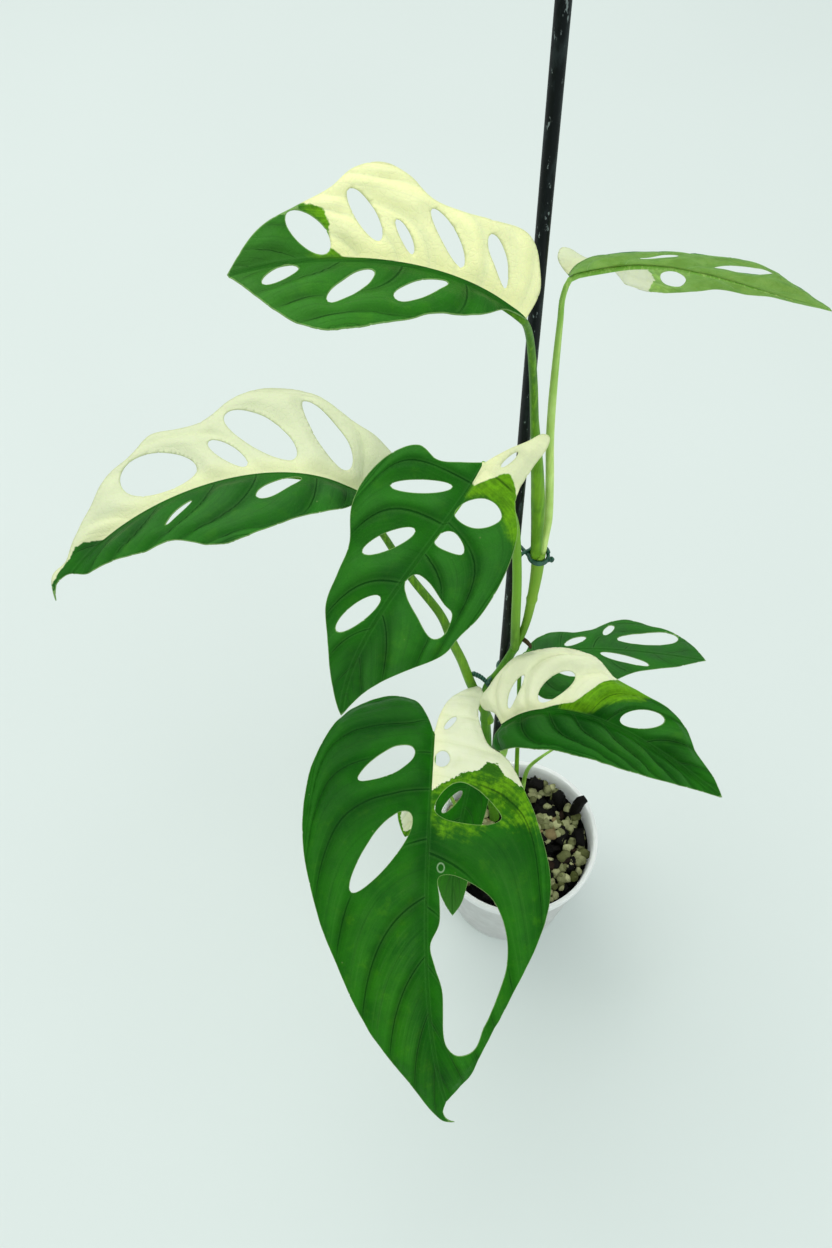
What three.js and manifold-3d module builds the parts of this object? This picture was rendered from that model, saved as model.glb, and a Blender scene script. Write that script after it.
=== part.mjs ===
// A potted variegated swiss cheese vine on a round stake, in millimetres.
// +Z is up, -Y is the front, and the origin is the middle of the pot's underside.
import * as THREE from 'three';
import { mergeVertices } from 'three/addons/utils/BufferGeometryUtils.js';
import Module from 'manifold-3d';

const wasm = await Module();
wasm.setup();

// Driving dimensions
const clearance = 0.3; // between neighbouring pieces
const potHeight = 80;
const potBaseRadius = 33.5;
const potRimRadius = 45;
const potWall = 1.3;
const rimBand = 5; // height of the flat band round the mouth
const rimStep = 1.2; // how far the band stands proud of the wall
const floorThickness = 1.6;
const drainRadius = 4;
const drainCircle = 19; // radius of the circle that the drain holes lie on
const drainCount = 4;
const barkChips = 20;
const granules = 34;
const mixLevel = 70; // top of the packed mix, under its loose chips
const stakeRadius = 2.2;
const stakeFoot = [-12.2, 20.6, 8];
const stakeTop = [-18.9, 18.7, 603];
const bladeThickness = 0.8;
const wireRadius = 0.8;

const colours = {
  leaf: 0x1f6b1f,
  creamLeaf: 0xe9ecc4,
  stalk: 0x6fa83c,
  stem: 0x5f9636,
  root: 0x4a3526,
  pot: 0xf1f2f4,
  mix: 0x3a332a,
  stake: 0x1c2326,
  tie: 0x14523c,
};

const vector = (p) => new THREE.Vector3(...p);
const degrees = (a) => (a * Math.PI) / 180;

// Solids: a closed geometry becomes a manifold solid for joining and cutting, and comes back
function solidOf(geometry) {
  const bare = geometry.clone();
  for (const name of Object.keys(bare.attributes)) {
    if (name !== 'position') bare.deleteAttribute(name);
  }
  const merged = mergeVertices(bare, 1e-4);
  return new wasm.Manifold(new wasm.Mesh({
    numProp: 3,
    vertProperties: merged.attributes.position.array,
    triVerts: new Uint32Array(merged.index.array),
  }));
}

function geometryOf(solid) {
  const mesh = solid.getMesh();
  const geometry = new THREE.BufferGeometry();
  geometry.setAttribute('position', new THREE.BufferAttribute(mesh.vertProperties, 3));
  geometry.setIndex(new THREE.BufferAttribute(mesh.triVerts, 1));
  geometry.computeVertexNormals();
  return geometry;
}

function geometryFrom(points, faces) {
  const geometry = new THREE.BufferGeometry().setFromPoints(points);
  geometry.setIndex(faces.flat());
  geometry.computeVertexNormals();
  return geometry;
}

const part = new THREE.Group();

function add(name, geometry, color, roughness = 0.5) {
  const material = new THREE.MeshStandardMaterial({ color, roughness, metalness: 0 });
  const mesh = new THREE.Mesh(geometry, material);
  mesh.name = name;
  part.add(mesh);
}

// Stems: a smooth tube through a few points, its width read along a short list of diameters
function widthAt(widths, t) {
  const place = t * (widths.length - 1);
  const i = Math.min(Math.floor(place), widths.length - 2);
  return widths[i] + (widths[i + 1] - widths[i]) * (place - i);
}

function tube({ route, widths, sides = 8, step = 12 }, grow = 0) {
  const curve = new THREE.CatmullRomCurve3(route.map(vector), false, 'centripetal');
  const rings = Math.max(2, Math.round(curve.getLength() / step));
  const frames = curve.computeFrenetFrames(rings, false);
  const points = [];
  for (let i = 0; i <= rings; i++) {
    const radius = widthAt(widths, i / rings) / 2 + grow;
    const past = i === 0 ? -grow : i === rings ? grow : 0; // a grown tube is longer too
    const middle = curve.getPointAt(i / rings).addScaledVector(frames.tangents[i], past);
    for (let j = 0; j < sides; j++) {
      const angle = (2 * Math.PI * j) / sides;
      points.push(middle.clone()
        .addScaledVector(frames.normals[i], radius * Math.cos(angle))
        .addScaledVector(frames.binormals[i], radius * Math.sin(angle)));
    }
  }
  const faces = [];
  for (let i = 0; i < rings; i++) {
    for (let j = 0; j < sides; j++) {
      const a = i * sides + j;
      const b = i * sides + ((j + 1) % sides);
      faces.push([a, b, b + sides], [a, b + sides, a + sides]);
    }
  }
  const last = rings * sides;
  for (let j = 1; j < sides - 1; j++) {
    faces.push([0, j + 1, j], [last, last + j, last + j + 1]);
  }
  return geometryFrom(points, faces);
}

// The largest body of a solid, without the crumbs that a cut may free
const largest = (solid) => solid.decompose().sort((a, b) => b.volume() - a.volume())[0];

const bladeGrid = 6; // spacing of the points inside a blade
const edgeStep = 4; // spacing of the points along its edges

// Points along a smooth flat curve through the given ones
function smooth(points, closed = false) {
  const flat = points.map(([x, y]) => vector([x, y, 0]));
  const curve = new THREE.CatmullRomCurve3(flat, closed, 'centripetal');
  const pieces = Math.max(2, Math.round(curve.getLength() / edgeStep));
  const spaced = curve.getSpacedPoints(pieces).map((p) => [p.x, p.y]);
  return closed ? spaced.slice(1) : spaced;
}

// A hole in a blade: an oval, fuller towards one end and turned from the midrib by an angle,
// or a freer shape through a few points
function oval(x, y, long, wide, turn, fuller = 0) {
  const count = Math.max(9, Math.round((long + wide) * 1.6 / edgeStep));
  const angle = degrees(turn);
  return Array.from({ length: count }, (_, i) => {
    const phase = (2 * Math.PI * i) / count;
    const a = (long / 2) * Math.cos(phase);
    const b = (wide / 2) * Math.sin(phase) * (1 + fuller * Math.cos(phase));
    return [x + a * Math.cos(angle) - b * Math.sin(angle), y + a * Math.sin(angle) + b * Math.cos(angle)];
  });
}
const window = (...points) => smooth(points, true);

// Blades: flat patterns in millimetres, x along the midrib from the stalk and y across it.
// left and right are the half outlines from the stalk to the tip. Each pattern is bent along
// its midrib curve, its face leans from face[0] to face[1], and its halves lift by the angles
// in degrees at even stations, curling further by curl degrees for each millimetre outwards.
const blades = {
  a: {
    length: 92,
    midrib: [[-24, -14, 501], [-42, -14, 525], [-76, -18, 534], [-103, -30, 535]],
    face: [[0, -0.2, 1], [0, -0.3, 1]],
    leftLift: [16, 16],
    rightLift: [20, 20],
    left: [[0, 0], [8, 1.5], [17, 8], [27, 13.5], [39, 17.5], [54, 23.5], [66, 26], [74, 25], [81, 20],
      [87, 11], [92, 0]],
    right: [[0, 0], [1, 9], [7, 17.5], [12, 20], [21, 18.5], [30, 17.5], [38, 18.5], [44, 23], [50, 25.5],
      [57, 23.5], [63, 18], [71, 14], [81, 9.5], [92, 0]],
    holes: [oval(79, 4, 12, 5, 24, -0.2), oval(61, 10, 20, 5.5, 38), oval(40, 8.5, 22, 5.5, 32, 0.3),
      oval(69, -7, 14, 7.5, -50), oval(54.5, -11.5, 15, 5.5, -60), oval(44, -7, 10, 3, -57),
      oval(32, -9.5, 17, 5, -48), oval(16, -9, 15, 4.5, -50, 0.3)],
    cream: 0.5,
  },
  b: {
    length: 83,
    midrib: [[-7, 20, 481], [17, 24, 493], [47, 20, 477], [71, 8, 480]],
    face: [[0, 0.91, 0.41], [-0.05, 0.91, 0.41]],
    leftLift: [75, 25, 3, 0, 0, 0, 0, 0, 0],
    rightLift: [0, 0],
    left: [[0, 0], [-4, 5], [-4, 11], [-1, 13], [3, 11], [7, 10], [15, 17], [23, 23], [33, 25], [41, 21],
      [50, 13], [62, 8], [73, 5], [83, 0]],
    right: [[0, 0], [3, 12], [9, 18], [22, 19], [36, 18], [48, 20], [58, 20], [67, 15], [75, 9], [83, 0]],
    holes: [oval(27, -9, 13, 6, -40), oval(52, -12, 19, 7, -32), oval(36, 11, 14, 8, 70)],
    cream: 0.4,
  },
  c: {
    length: 130,
    midrib: [[-73, -5, 404], [-101, -2, 437], [-165, -15, 410], [-178, -40, 390]],
    face: [[0, 0, 1], [0, 0, 1]],
    leftLift: [6, 6],
    rightLift: [8, 8],
    left: [[0, 0], [6, 8], [15, 14], [27, 19], [41, 24.5], [54, 28], [62, 26], [74, 18], [86, 15.5],
      [100, 10], [111, 5.5], [117, -1], [123, -2.5], [130, 0]],
    right: [[0, 0], [-5, 6], [-8, 13], [-7, 20], [0, 23.5], [8, 25], [21, 31], [33, 33], [44, 31],
      [57, 23.5],
      [64, 24], [71, 25.5], [79, 21], [88, 18.5], [96, 13], [106, 8], [114, 4.5], [121, 5.5], [130, 0]],
    holes: [oval(17, -17, 28, 10, -54, -0.3), oval(38.5, -15, 28, 11.5, -43), oval(50, -9.5, 16, 5.5, -49),
      oval(72.5, -10.5, 25, 15, -20, 0.2), oval(34.5, 6.5, 19, 5.5, 29, 0.3), oval(70, 7.5, 12, 2.2, 24)],
    cream: 0.6,
  },
  d: {
    length: 105,
    midrib: [[-32, -8, 427], [-49, -31, 409], [-79, -55, 396], [-81, -70, 363]],
    face: [[0, -0.4, 1], [0, -0.5, 1]],
    leftLift: [0, 0],
    rightLift: [0, 0],
    left: [[0, 0], [-8, 3], [-14, 9], [-17, 13.5], [-14, 16], [-5, 14.5], [5, 15], [14, 22], [27, 26.5],
      [42, 28], [52, 26.5], [61, 25.5], [74, 18], [89, 8.5], [105, 0]],
    right: [[0, 0], [4, 6.5], [8, 14], [7, 21.5], [14, 27.5], [27, 30.5], [38, 28.5], [49, 21.5],
      [58, 19.5],
      [68, 17.5], [78, 11.5], [88, 6.5], [105, 0]],
    holes: [oval(19, -13.5, 21, 4.5, -55), oval(40, -11.5, 19, 5.5, -31), oval(65.5, -6.5, 19, 6, -21),
      window([20, 0.8], [15, 1.5], [10.5, 6], [10, 11], [12.5, 14.5], [16.5, 13], [20, 9], [21, 4]),
      window([31.5, 1.2], [27, 1.5], [25, 4.5], [27, 10], [29, 11], [31, 7]),
      window([48, 1.2], [43.5, 2.5], [43, 7], [46, 16], [47, 20], [56, 21.5], [58.5, 19],
        [55, 11], [51.5, 4.5]),
      oval(-5, 6, 6.5, 2.5, -21)],
    cream: 0.1,
  },
  e: {
    length: 183,
    midrib: [[-47, -20, 248], [-50, -80, 265], [-57, -146, 223], [-38, -169, 172]],
    face: [[0, 0, 1], [0, -0.4, 1]],
    leftLift: [-5, -5],
    rightLift: [-5, -5],
    left: [[0, 0], [-13, 2.5], [-25, 7.5], [-32, 14], [-34, 20], [-29, 22], [-18, 19.5], [-8, 20],
      [3, 24],
      [10, 32], [28, 41.5], [50, 49], [68, 52], [84, 50], [104, 42.5], [126, 31.5], [146, 20.5],
      [160, 11],
      [168, 1], [173, -2.5], [178, -2.5], [183, 0]],
    right: [[0, 0], [-11, 3.5], [-21, 9], [-25.5, 18.5], [-25, 27], [-18, 36.5], [-3, 46], [10, 50.5],
      [23, 53], [39, 54], [56, 52.5], [83, 45], [106, 35.5], [128, 26], [153, 13], [166, 8.5],
      [178, 4.5], [183, 0]],
    holes: [oval(16.5, -20, 28, 11.5, -55, -0.3), oval(56, -20, 41, 12.5, -34, -0.2),
      oval(-7, 7, 10, 3, -29), oval(13, 4.2, 8.5, 6.5, -10),
      window([37, 2], [28, 6], [24, 12], [27, 20], [34, 27.5], [39, 30.5], [42, 26], [42.5, 14],
        [40.5, 5]),
      window([66, 5], [65, 11], [73, 26], [81, 31], [91, 33.5], [104, 33.5], [116, 30], [133, 22.5],
        [145, 16.5], [145.5, 10], [139, 5.5], [113, 6], [103, 3.5], [94, 1.8], [85, 5.5], [75, 5.5])],
    cream: 0.2,
    grid: 7.5,
  },
  f: {
    length: 130,
    midrib: [[-17, -15, 246], [8, -12, 288], [59, -20, 225], [85, -34, 210]],
    face: [[0, 0, 1], [0, -0.2, 1]],
    leftLift: [30, 10],
    leftCurl: [-1.6, -0.8],
    rightLift: [8, 8],
    left: [[0, 0], [0, 6], [-4, 11], [-4.5, 16], [1, 18.5], [7, 23], [15, 27], [26, 29],
      [38, 29.5], [48, 28],
      [57, 21], [70, 19.5], [84, 19.5], [94, 16], [103, 10], [118, 5], [130, 0]],
    right: [[0, 0], [-6, 2], [-7, 6], [-4, 10.5], [2, 13.5], [12, 17], [24, 20], [45, 21], [62, 19.5],
      [79, 16], [96, 11], [117, 4], [130, 0]],
    holes: [oval(31.5, 10.5, 21, 8.5, 39), oval(12.5, 10.5, 16, 4, 49), oval(74, 8.5, 22, 8, 28)],
    cream: 0.5,
  },
  g: {
    length: 88,
    midrib: [[-3, 35, 223], [25, 39, 224], [55, 39, 218], [84, 35, 215]],
    face: [[0, -0.1, 1], [0, -0.1, 1]],
    leftLift: [-20, -20],
    rightLift: [0, 0],
    left: [[0, 0], [4, 5.5], [13, 10.5], [25, 10], [34, 12], [46, 19], [53, 20], [62, 17], [70, 15.5],
      [78, 11], [88, 0]],
    right: [[0, 0], [-2, 9], [-1, 17], [4, 24], [14, 25], [28, 21], [40, 17.5], [52, 12], [63, 9],
      [74, 6],
      [88, 0]],
    holes: [oval(25, 4.5, 12, 3.5, 23), oval(42, 12, 8.5, 3.5, 50), oval(60, 8.5, 30, 8, 10, 0.3),
      oval(48, -5, 24, 4, -12), oval(18, -12, 12.5, 4, -20)],
    cream: 0,
  },
  h: {
    length: 88,
    midrib: [[-24, 17, 150], [-31, -11, 142], [-38, -34, 123], [-36, -53, 100]],
    face: [[0, -0.2, 1], [0, -0.5, 1]],
    leftLift: [0, 0],
    rightLift: [0, 0],
    left: [[0, 0], [6, 2.5], [10, 7], [16, 10.5], [22, 11.5], [48, 9.5], [72, 7], [81, 4.5], [88, 0]],
    right: [[0, 0], [4, 5.5], [11, 10], [20, 13.5], [29, 14.5], [50, 11], [72, 7], [80, 4], [88, 0]],
    holes: [oval(27, -6.5, 15, 4, -31)],
    cream: 0,
  },
  i: {
    length: 43,
    midrib: [[-44, 17, 125], [-50, 6, 120], [-57, -3, 110], [-61, -9, 98]],
    face: [[0, -0.2, 1], [0, -0.5, 1]],
    leftLift: [0, 0],
    rightLift: [0, 0],
    left: [[0, 0], [4, 5], [10, 7], [19, 7], [28, 6], [37, 3.5], [43, 0]],
    right: [[0, 0], [4, 5.5], [11, 9.5], [20, 10.5], [28, 9.5], [37, 4.5], [43, 0]],
    holes: [],
    cream: 1,
  },
};

// The point of a bent blade above the flat point (x, y), lifted off the sheet by rise
function bladePoint(blade, x, y, rise) {
  const t = x / blade.length;
  const within = THREE.MathUtils.clamp(t, 0, 1);
  const [p0, p1, p2, p3] = blade.midrib.map(vector);
  const u = 1 - t;
  const middle = p0.clone().multiplyScalar(u ** 3).addScaledVector(p1, 3 * u * u * t)
    .addScaledVector(p2, 3 * u * t * t).addScaledVector(p3, t ** 3);
  const along = p1.clone().sub(p0).multiplyScalar(u * u).addScaledVector(p2.clone().sub(p1), 2 * u * t)
    .addScaledVector(p3.clone().sub(p2), t * t).normalize();
  const normal = vector(blade.face[0]).lerp(vector(blade.face[1]), within);
  normal.addScaledVector(along, -normal.dot(along)).normalize();
  const across = normal.clone().cross(along);
  if (y === 0) return middle.addScaledVector(normal, rise);
  const side = Math.sign(y);
  const lift = degrees(widthAt(y > 0 ? blade.leftLift : blade.rightLift, within));
  const curl = degrees(widthAt((y > 0 ? blade.leftCurl : blade.rightCurl) || [0, 0], within));
  const reach = Math.abs(y);
  const angle = lift + curl * reach;
  const out = curl ? (Math.sin(angle) - Math.sin(lift)) / curl : reach * Math.cos(lift);
  const up = curl ? (Math.cos(lift) - Math.cos(angle)) / curl : reach * Math.sin(lift);
  return middle.addScaledVector(across, side * (out - rise * Math.sin(angle)))
    .addScaledVector(normal, up + rise * Math.cos(angle));
}

// The outer edge of a flat blade, anticlockwise
function outerEdge(blade) {
  const right = smooth(blade.right).map(([x, y]) => [x, -y]);
  return [...right, ...smooth(blade.left).reverse().slice(1, -1)];
}

function inside([x, y], loop) {
  let odd = false;
  loop.forEach(([ax, ay], i) => {
    const [bx, by] = loop[(i + 1) % loop.length];
    if ((ay > y) !== (by > y) && x < ax + ((y - ay) * (bx - ax)) / (by - ay)) odd = !odd;
  });
  return odd;
}

// Delaunay triangles of flat points: each new point takes the place of the triangles
// whose circles hold it
function delaunay(points) {
  const far = 4000;
  const all = [...points, [-far, -far], [far, -far], [0, far]];
  const circled = (a, b, c) => {
    const [ax, ay] = all[a];
    const [bx, by] = [all[b][0] - ax, all[b][1] - ay];
    const [cx, cy] = [all[c][0] - ax, all[c][1] - ay];
    const d = 2 * (bx * cy - by * cx);
    const x = (cy * (bx * bx + by * by) - by * (cx * cx + cy * cy)) / d;
    const y = (bx * (cx * cx + cy * cy) - cx * (bx * bx + by * by)) / d;
    return { corners: [a, b, c], x: ax + x, y: ay + y, radius: Math.hypot(x, y) };
  };
  const n = points.length;
  let triangles = [circled(n, n + 1, n + 2)];
  points.forEach(([x, y], i) => {
    const edges = new Map();
    triangles = triangles.filter((t) => {
      if (Math.hypot(x - t.x, y - t.y) >= t.radius) return true;
      t.corners.forEach((a, j) => {
        const b = t.corners[(j + 1) % 3];
        if (!edges.delete(`${b} ${a}`)) edges.set(`${a} ${b}`, [a, b]);
      });
      return false;
    });
    for (const [a, b] of edges.values()) triangles.push(circled(a, b, i));
  });
  return triangles.map((t) => t.corners).filter((corners) => Math.max(...corners) < n);
}

// A blade: its flat pattern in triangles, the same ones on both faces, and a wall round each edge
function bladeGeometry(blade) {
  const grid = blade.grid || bladeGrid;
  const outer = outerEdge(blade);
  const { holes } = blade;
  const edges = [outer, ...holes].flat();
  const flat = [...edges];
  const onBlade = (p) => inside(p, outer) && !holes.some((loop) => inside(p, loop));
  const rows = Math.ceil(blade.length / 3 / (grid * 0.87));
  for (let row = -rows; row <= rows; row++) {
    const start = row % 2 ? grid / 2 : 0;
    for (let x = start - 6 * grid; x < blade.length; x += grid) {
      // a hair off the even grid, so that no four points share a circle
      const p = [x + 0.01 * Math.sin(x * 7 + row), row * grid * 0.87];
      const room = Math.min(...edges.map((q) => Math.hypot(p[0] - q[0], p[1] - q[1])));
      if (room > grid * 0.55 && onBlade(p)) flat.push(p);
    }
  }
  const faces = delaunay(flat).filter((corners) => {
    const centre = [0, 1].map((k) => corners.reduce((sum, i) => sum + flat[i][k], 0) / 3);
    return onBlade(centre);
  });
  const used = [...new Set(faces.flat())];
  const place = new Map(used.map((i, k) => [i, k]));
  const count = used.length;
  const half = bladeThickness / 2;
  const points = [half, -half].flatMap((rise) => used.map((i) => bladePoint(blade, ...flat[i], rise)));
  const rims = new Map();
  const skin = faces.flatMap((corners) => {
    const [a, b, c] = corners.map((i) => place.get(i));
    for (const [p, q] of [[a, b], [b, c], [c, a]]) {
      if (!rims.delete(`${q} ${p}`)) rims.set(`${p} ${q}`, [p, q]);
    }
    return [[a, b, c], [a + count, c + count, b + count]];
  });
  const walls = [...rims.values()].flatMap(([p, q]) => [[p, p + count, q + count], [p, q + count, q]]);
  return geometryFrom(points, [...skin, ...walls]);
}

// Where a stalk ends: it runs a short way along under the midrib, from the blade's base
function seatOf(blade, width) {
  const depth = bladeThickness / 2 + clearance + width / 2;
  return [0.5, 4].map((x) => bladePoint(blade, x, 0, -depth).toArray());
}

// The vine's stem: from the mix up to the fork, then to the upper tie
const stem = {
  route: [[-10, 13, 38], [-11, 13, 72], [-16, 13, 120], [-20, 13, 175], [-22, 14, 226], [-17, 14.5, 241],
    [-11.5, 15, 262], [-8, 16, 279], [-6.5, 17, 299], [-5.8, 18, 314], [-6, 18, 327]],
  widths: [5.5, 5.6, 5.4, 5.2, 5.2, 5, 4.8, 4.4, 4.2, 3.6, 3.4, 4.8, 6.6],
  sides: 10,
  step: 8,
};

// Stalks: routes from the stem or the mix, and diameters. Each ends under its own blade, and
// those with cut: true spring from the stem's side.
const stalks = {
  a: {
    route: [[-7.7, 17, 327.4], [-7.8, 16.5, 343], [-9.5, 15, 373], [-11.2, 13, 395], [-14.4, 8, 429],
      [-16.9, 3, 455], [-20.5, -5, 483], [-23.5, -11, 496]],
    widths: [3.4, 4.2, 4, 3.8, 3.4, 2.8, 2.2],
  },
  b: {
    route: [[-4.3, 19, 327.4], [-4.2, 19.3, 343], [-4, 19.5, 355], [-5.5, 19.5, 380], [-7.4, 19.5, 404],
      [-8.1, 20, 425], [-8.2, 20, 445], [-8.2, 19.8, 464], [-8, 19, 474]],
    widths: [3, 3.4, 3.2, 3, 2.8, 2.4, 2.2],
  },
  c: {
    route: [[-19.5, 13, 194], [-24, 14.5, 209], [-29.3, 15.5, 227], [-34.5, 13, 254], [-39.5, 10, 277],
      [-44.5, 7, 303], [-57.3, 3, 340], [-67, -2, 376], [-73, -4, 394]],
    widths: [4.6, 4.6, 4.2, 3.8, 3.4, 2.8, 2.4],
    cut: true,
  },
  d: {
    route: [[-11.3, 15, 262], [-12.6, 13.5, 288], [-14.1, 12.5, 321], [-16, 12.5, 347], [-18.5, 9, 369],
      [-25.5, 0, 400], [-31, -5.5, 419]],
    widths: [4, 4, 3.8, 3.6, 3, 2.4],
    cut: true,
  },
  e: {
    route: [[-19, 13, 160], [-26, 9, 185], [-36, -2, 212], [-44, -13, 233]],
    widths: [4.2, 4, 3.6, 3],
    cut: true,
  },
  f: {
    route: [[-15.5, 13, 125], [-13, 7, 160], [-13, -4, 200], [-16, -12, 232]],
    widths: [4, 3.8, 3.4, 2.6],
    cut: true,
  },
  g: {
    route: [[2, 25, 50], [1, 26, 80], [-0.8, 28, 117], [-2.5, 32, 160], [-4.5, 34.5, 212]],
    widths: [2.6, 2.4, 2.2, 2],
  },
  h: { route: [[-20, 27, 50], [-21, 27, 90], [-23, 24, 130], [-24, 20, 145]], widths: [2.6, 2.4, 2.2, 2] },
  i: { route: [[-31, 18, 50], [-33, 19, 76], [-39, 20, 100], [-43, 20, 118]], widths: [2.2, 2, 1.8, 1.6] },
};
const sprout = {
  route: [[5, 27, 50], [4.6, 27, 85], [5.2, 28, 100], [7, 28, 110], [11.5, 28, 120], [17, 29, 127],
    [26, 31, 134]],
  widths: [2.6, 2.4, 2, 1.6, 1.2, 0.8],
  sides: 6,
  step: 6,
};
const aerialRoot = {
  route: [[-9, 16, 269], [-6.9, 13.7, 270], [-5.2, 13.2, 267.5], [-4.6, 13.8, 264]],
  widths: [2, 2.1, 1.9, 1.4],
  sides: 6,
  step: 2,
};
const stake = {
  route: [stakeFoot, stakeTop],
  widths: [2 * stakeRadius, 2 * stakeRadius],
  sides: 12,
  step: 300,
};

for (const [key, stalk] of Object.entries(stalks)) {
  stalk.route.push(...seatOf(blades[key], stalk.widths[stalk.widths.length - 1]));
}

// Radius of the pot's tapered wall, outside, at a height
const wallAt = (z) => potBaseRadius + ((potRimRadius - rimStep - potBaseRadius) * z) / potHeight;

// Pot: a tapered cup with a flat rim band and round drain holes
function potGeometry() {
  const bandFoot = potHeight - rimBand;
  const profile = [
    [0, 0],
    [potBaseRadius - 1, 0],
    [wallAt(1), 1],
    [wallAt(bandFoot), bandFoot],
    [potRimRadius - 0.3, bandFoot + 0.4],
    [potRimRadius, potHeight - 0.4],
    [potRimRadius - 0.4, potHeight],
    [wallAt(potHeight) - potWall, potHeight],
    [wallAt(floorThickness) - potWall, floorThickness],
    [0, floorThickness],
  ].map(([r, z]) => new THREE.Vector2(r, z));
  const cup = new THREE.LatheGeometry(profile, 48).rotateX(Math.PI / 2);
  let solid = solidOf(cup);
  for (let i = 0; i < drainCount; i++) {
    const angle = (2 * Math.PI * (i + 0.5)) / drainCount;
    const drain = new THREE.CylinderGeometry(drainRadius, drainRadius, 3 * floorThickness, 14)
      .rotateX(Math.PI / 2)
      .translate(drainCircle * Math.cos(angle), drainCircle * Math.sin(angle), floorThickness / 2);
    solid = solid.subtract(solidOf(drain));
  }
  return geometryOf(solid);
}

// A seeded draw between 0 and 1
function draws(seed) {
  let state = seed;
  return () => {
    state = (state * 1664525 + 1013904223) % 4294967296;
    return state / 4294967296;
  };
}

// The golden angle spreads chips and granules evenly
const goldenAngle = Math.PI * (3 - Math.sqrt(5));

// Big chips of bark that stand along the back of the pot: how deep, wide and tall each is,
// seen from the pot's middle, and how it leans sideways and outwards in degrees
const standingBark = [
  { size: [5, 7, 26], at: [36.5, 12.5, 79], lean: [5, 14] },
  { size: [6, 9, 14], at: [25, 23, 73], lean: [-12, 10] },
  { size: [6, 8, 14], at: [12, 32, 73], lean: [15, 5] },
  { size: [5, 9, 12], at: [35, 0, 71], lean: [-12, 5] },
];

// Potting mix: one packed body with bark chips and round granules standing out of its top
function mixGeometry() {
  const radiusAt = (z) => wallAt(z) - potWall - clearance;
  const foot = floorThickness + clearance;
  const body = new THREE.LatheGeometry([
    new THREE.Vector2(0, foot),
    new THREE.Vector2(radiusAt(foot), foot),
    new THREE.Vector2(radiusAt(mixLevel - 1.5), mixLevel - 1.5),
    new THREE.Vector2(radiusAt(mixLevel) - 3, mixLevel),
    new THREE.Vector2(0, mixLevel + 1),
  ], 32).rotateX(Math.PI / 2);
  let solid = solidOf(body);
  const draw = draws(7);
  const room = radiusAt(mixLevel) - 5.5;
  const scatter = (i, count) => {
    const r = room * Math.sqrt((i + 0.5) / count);
    const angle = i * goldenAngle + draw() * 0.5;
    return [r * Math.cos(angle), r * Math.sin(angle)];
  };
  const turn = new THREE.Euler();
  for (let i = 0; i < barkChips; i++) {
    const chip = new THREE.BoxGeometry(6 + 4 * draw(), 4 + 3 * draw(), 3 + 1.5 * draw());
    turn.set(0.7 * (draw() - 0.5), 0.7 * (draw() - 0.5), 2 * Math.PI * draw());
    chip.applyMatrix4(new THREE.Matrix4().makeRotationFromEuler(turn));
    const [x, y] = scatter(i, barkChips);
    solid = solid.add(solidOf(chip.translate(x, y, mixLevel + 1)));
  }
  for (let i = 0; i < granules; i++) {
    const granule = new THREE.IcosahedronGeometry(1.9 + 0.7 * draw(), 0);
    const [x, y] = scatter(i, granules);
    solid = solid.add(solidOf(granule.translate(x, y, mixLevel + 0.9 + 0.6 * draw())));
  }
  for (const { size, at, lean } of standingBark) {
    const bark = new THREE.BoxGeometry(...size)
      .rotateX(degrees(lean[0]))
      .rotateY(degrees(lean[1]))
      .rotateZ(Math.atan2(at[1], at[0]))
      .translate(...at);
    solid = solid.add(solidOf(bark));
  }
  for (const piece of [stake, stem, stalks.g, stalks.h, stalks.i, sprout]) {
    solid = solid.subtract(solidOf(tube(piece, clearance)));
  }
  return geometryOf(largest(solid));
}

// A wire tie: a belt of wraps round two upright rods, with its twisted tail. Each rod is
// the middle and radius that the belt is to clear.
function tieGeometry({ rods, level, wraps, tailAt, tail, tailWidths }) {
  const turns = 22;
  const sides = 6;
  const beltPoint = (angle) => {
    const out = vector([Math.cos(angle), Math.sin(angle), 0]);
    const reach = ({ x, y, radius }) => x * out.x + y * out.y + radius;
    const { x, y, radius } = rods.reduce((a, b) => (reach(b) > reach(a) ? b : a));
    const away = radius + clearance + wireRadius;
    return { out, middle: vector([x + away * out.x, y + away * out.y, level]) };
  };
  const points = [];
  const faces = [];
  for (let i = 0; i < turns; i++) {
    const { out, middle } = beltPoint((2 * Math.PI * i) / turns);
    for (let j = 0; j < sides; j++) {
      const around = (2 * Math.PI * j) / sides;
      points.push(middle.clone().addScaledVector(out, wireRadius * Math.cos(around))
        .add(vector([0, 0, wraps * wireRadius * Math.sin(around)])));
      const next = ((i + 1) % turns) * sides;
      const [a, b] = [i * sides + j, i * sides + ((j + 1) % sides)];
      const [c, d] = [next + ((j + 1) % sides), next + j];
      faces.push([a, d, c], [a, c, b]);
    }
  }
  const start = beltPoint(degrees(tailAt)).middle;
  const route = tail.map((offset) => start.clone().add(vector(offset)).toArray());
  const twist = tube({ route, widths: tailWidths, sides: 7, step: 2 });
  return geometryOf(solidOf(geometryFrom(points, faces)).add(solidOf(twist)));
}

const ties = {
  upper: {
    rods: [{ x: -15.5, y: 19.7, radius: 2.3 }, { x: -6, y: 18, radius: 3.3 }],
    level: 325,
    wraps: 2,
    tailAt: -15,
    tail: [[-0.6, 0, 0], [0.8, -0.3, 0.4], [1.8, -0.8, 0.6]],
    tailWidths: [2.4, 2.8, 2],
  },
  lower: {
    rods: [{ x: -14.1, y: 20, radius: 2.3 }, { x: -18.6, y: 14.3, radius: 3.3 }],
    level: 236,
    wraps: 1,
    tailAt: 225,
    tail: [[1, 0.4, 0], [-1, 0.2, 0.4], [-2.6, 3.6, 1.2], [-5.6, 6, 2.6]],
    tailWidths: [3.4, 3.2, 1.8, 1.6],
  },
};

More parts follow.
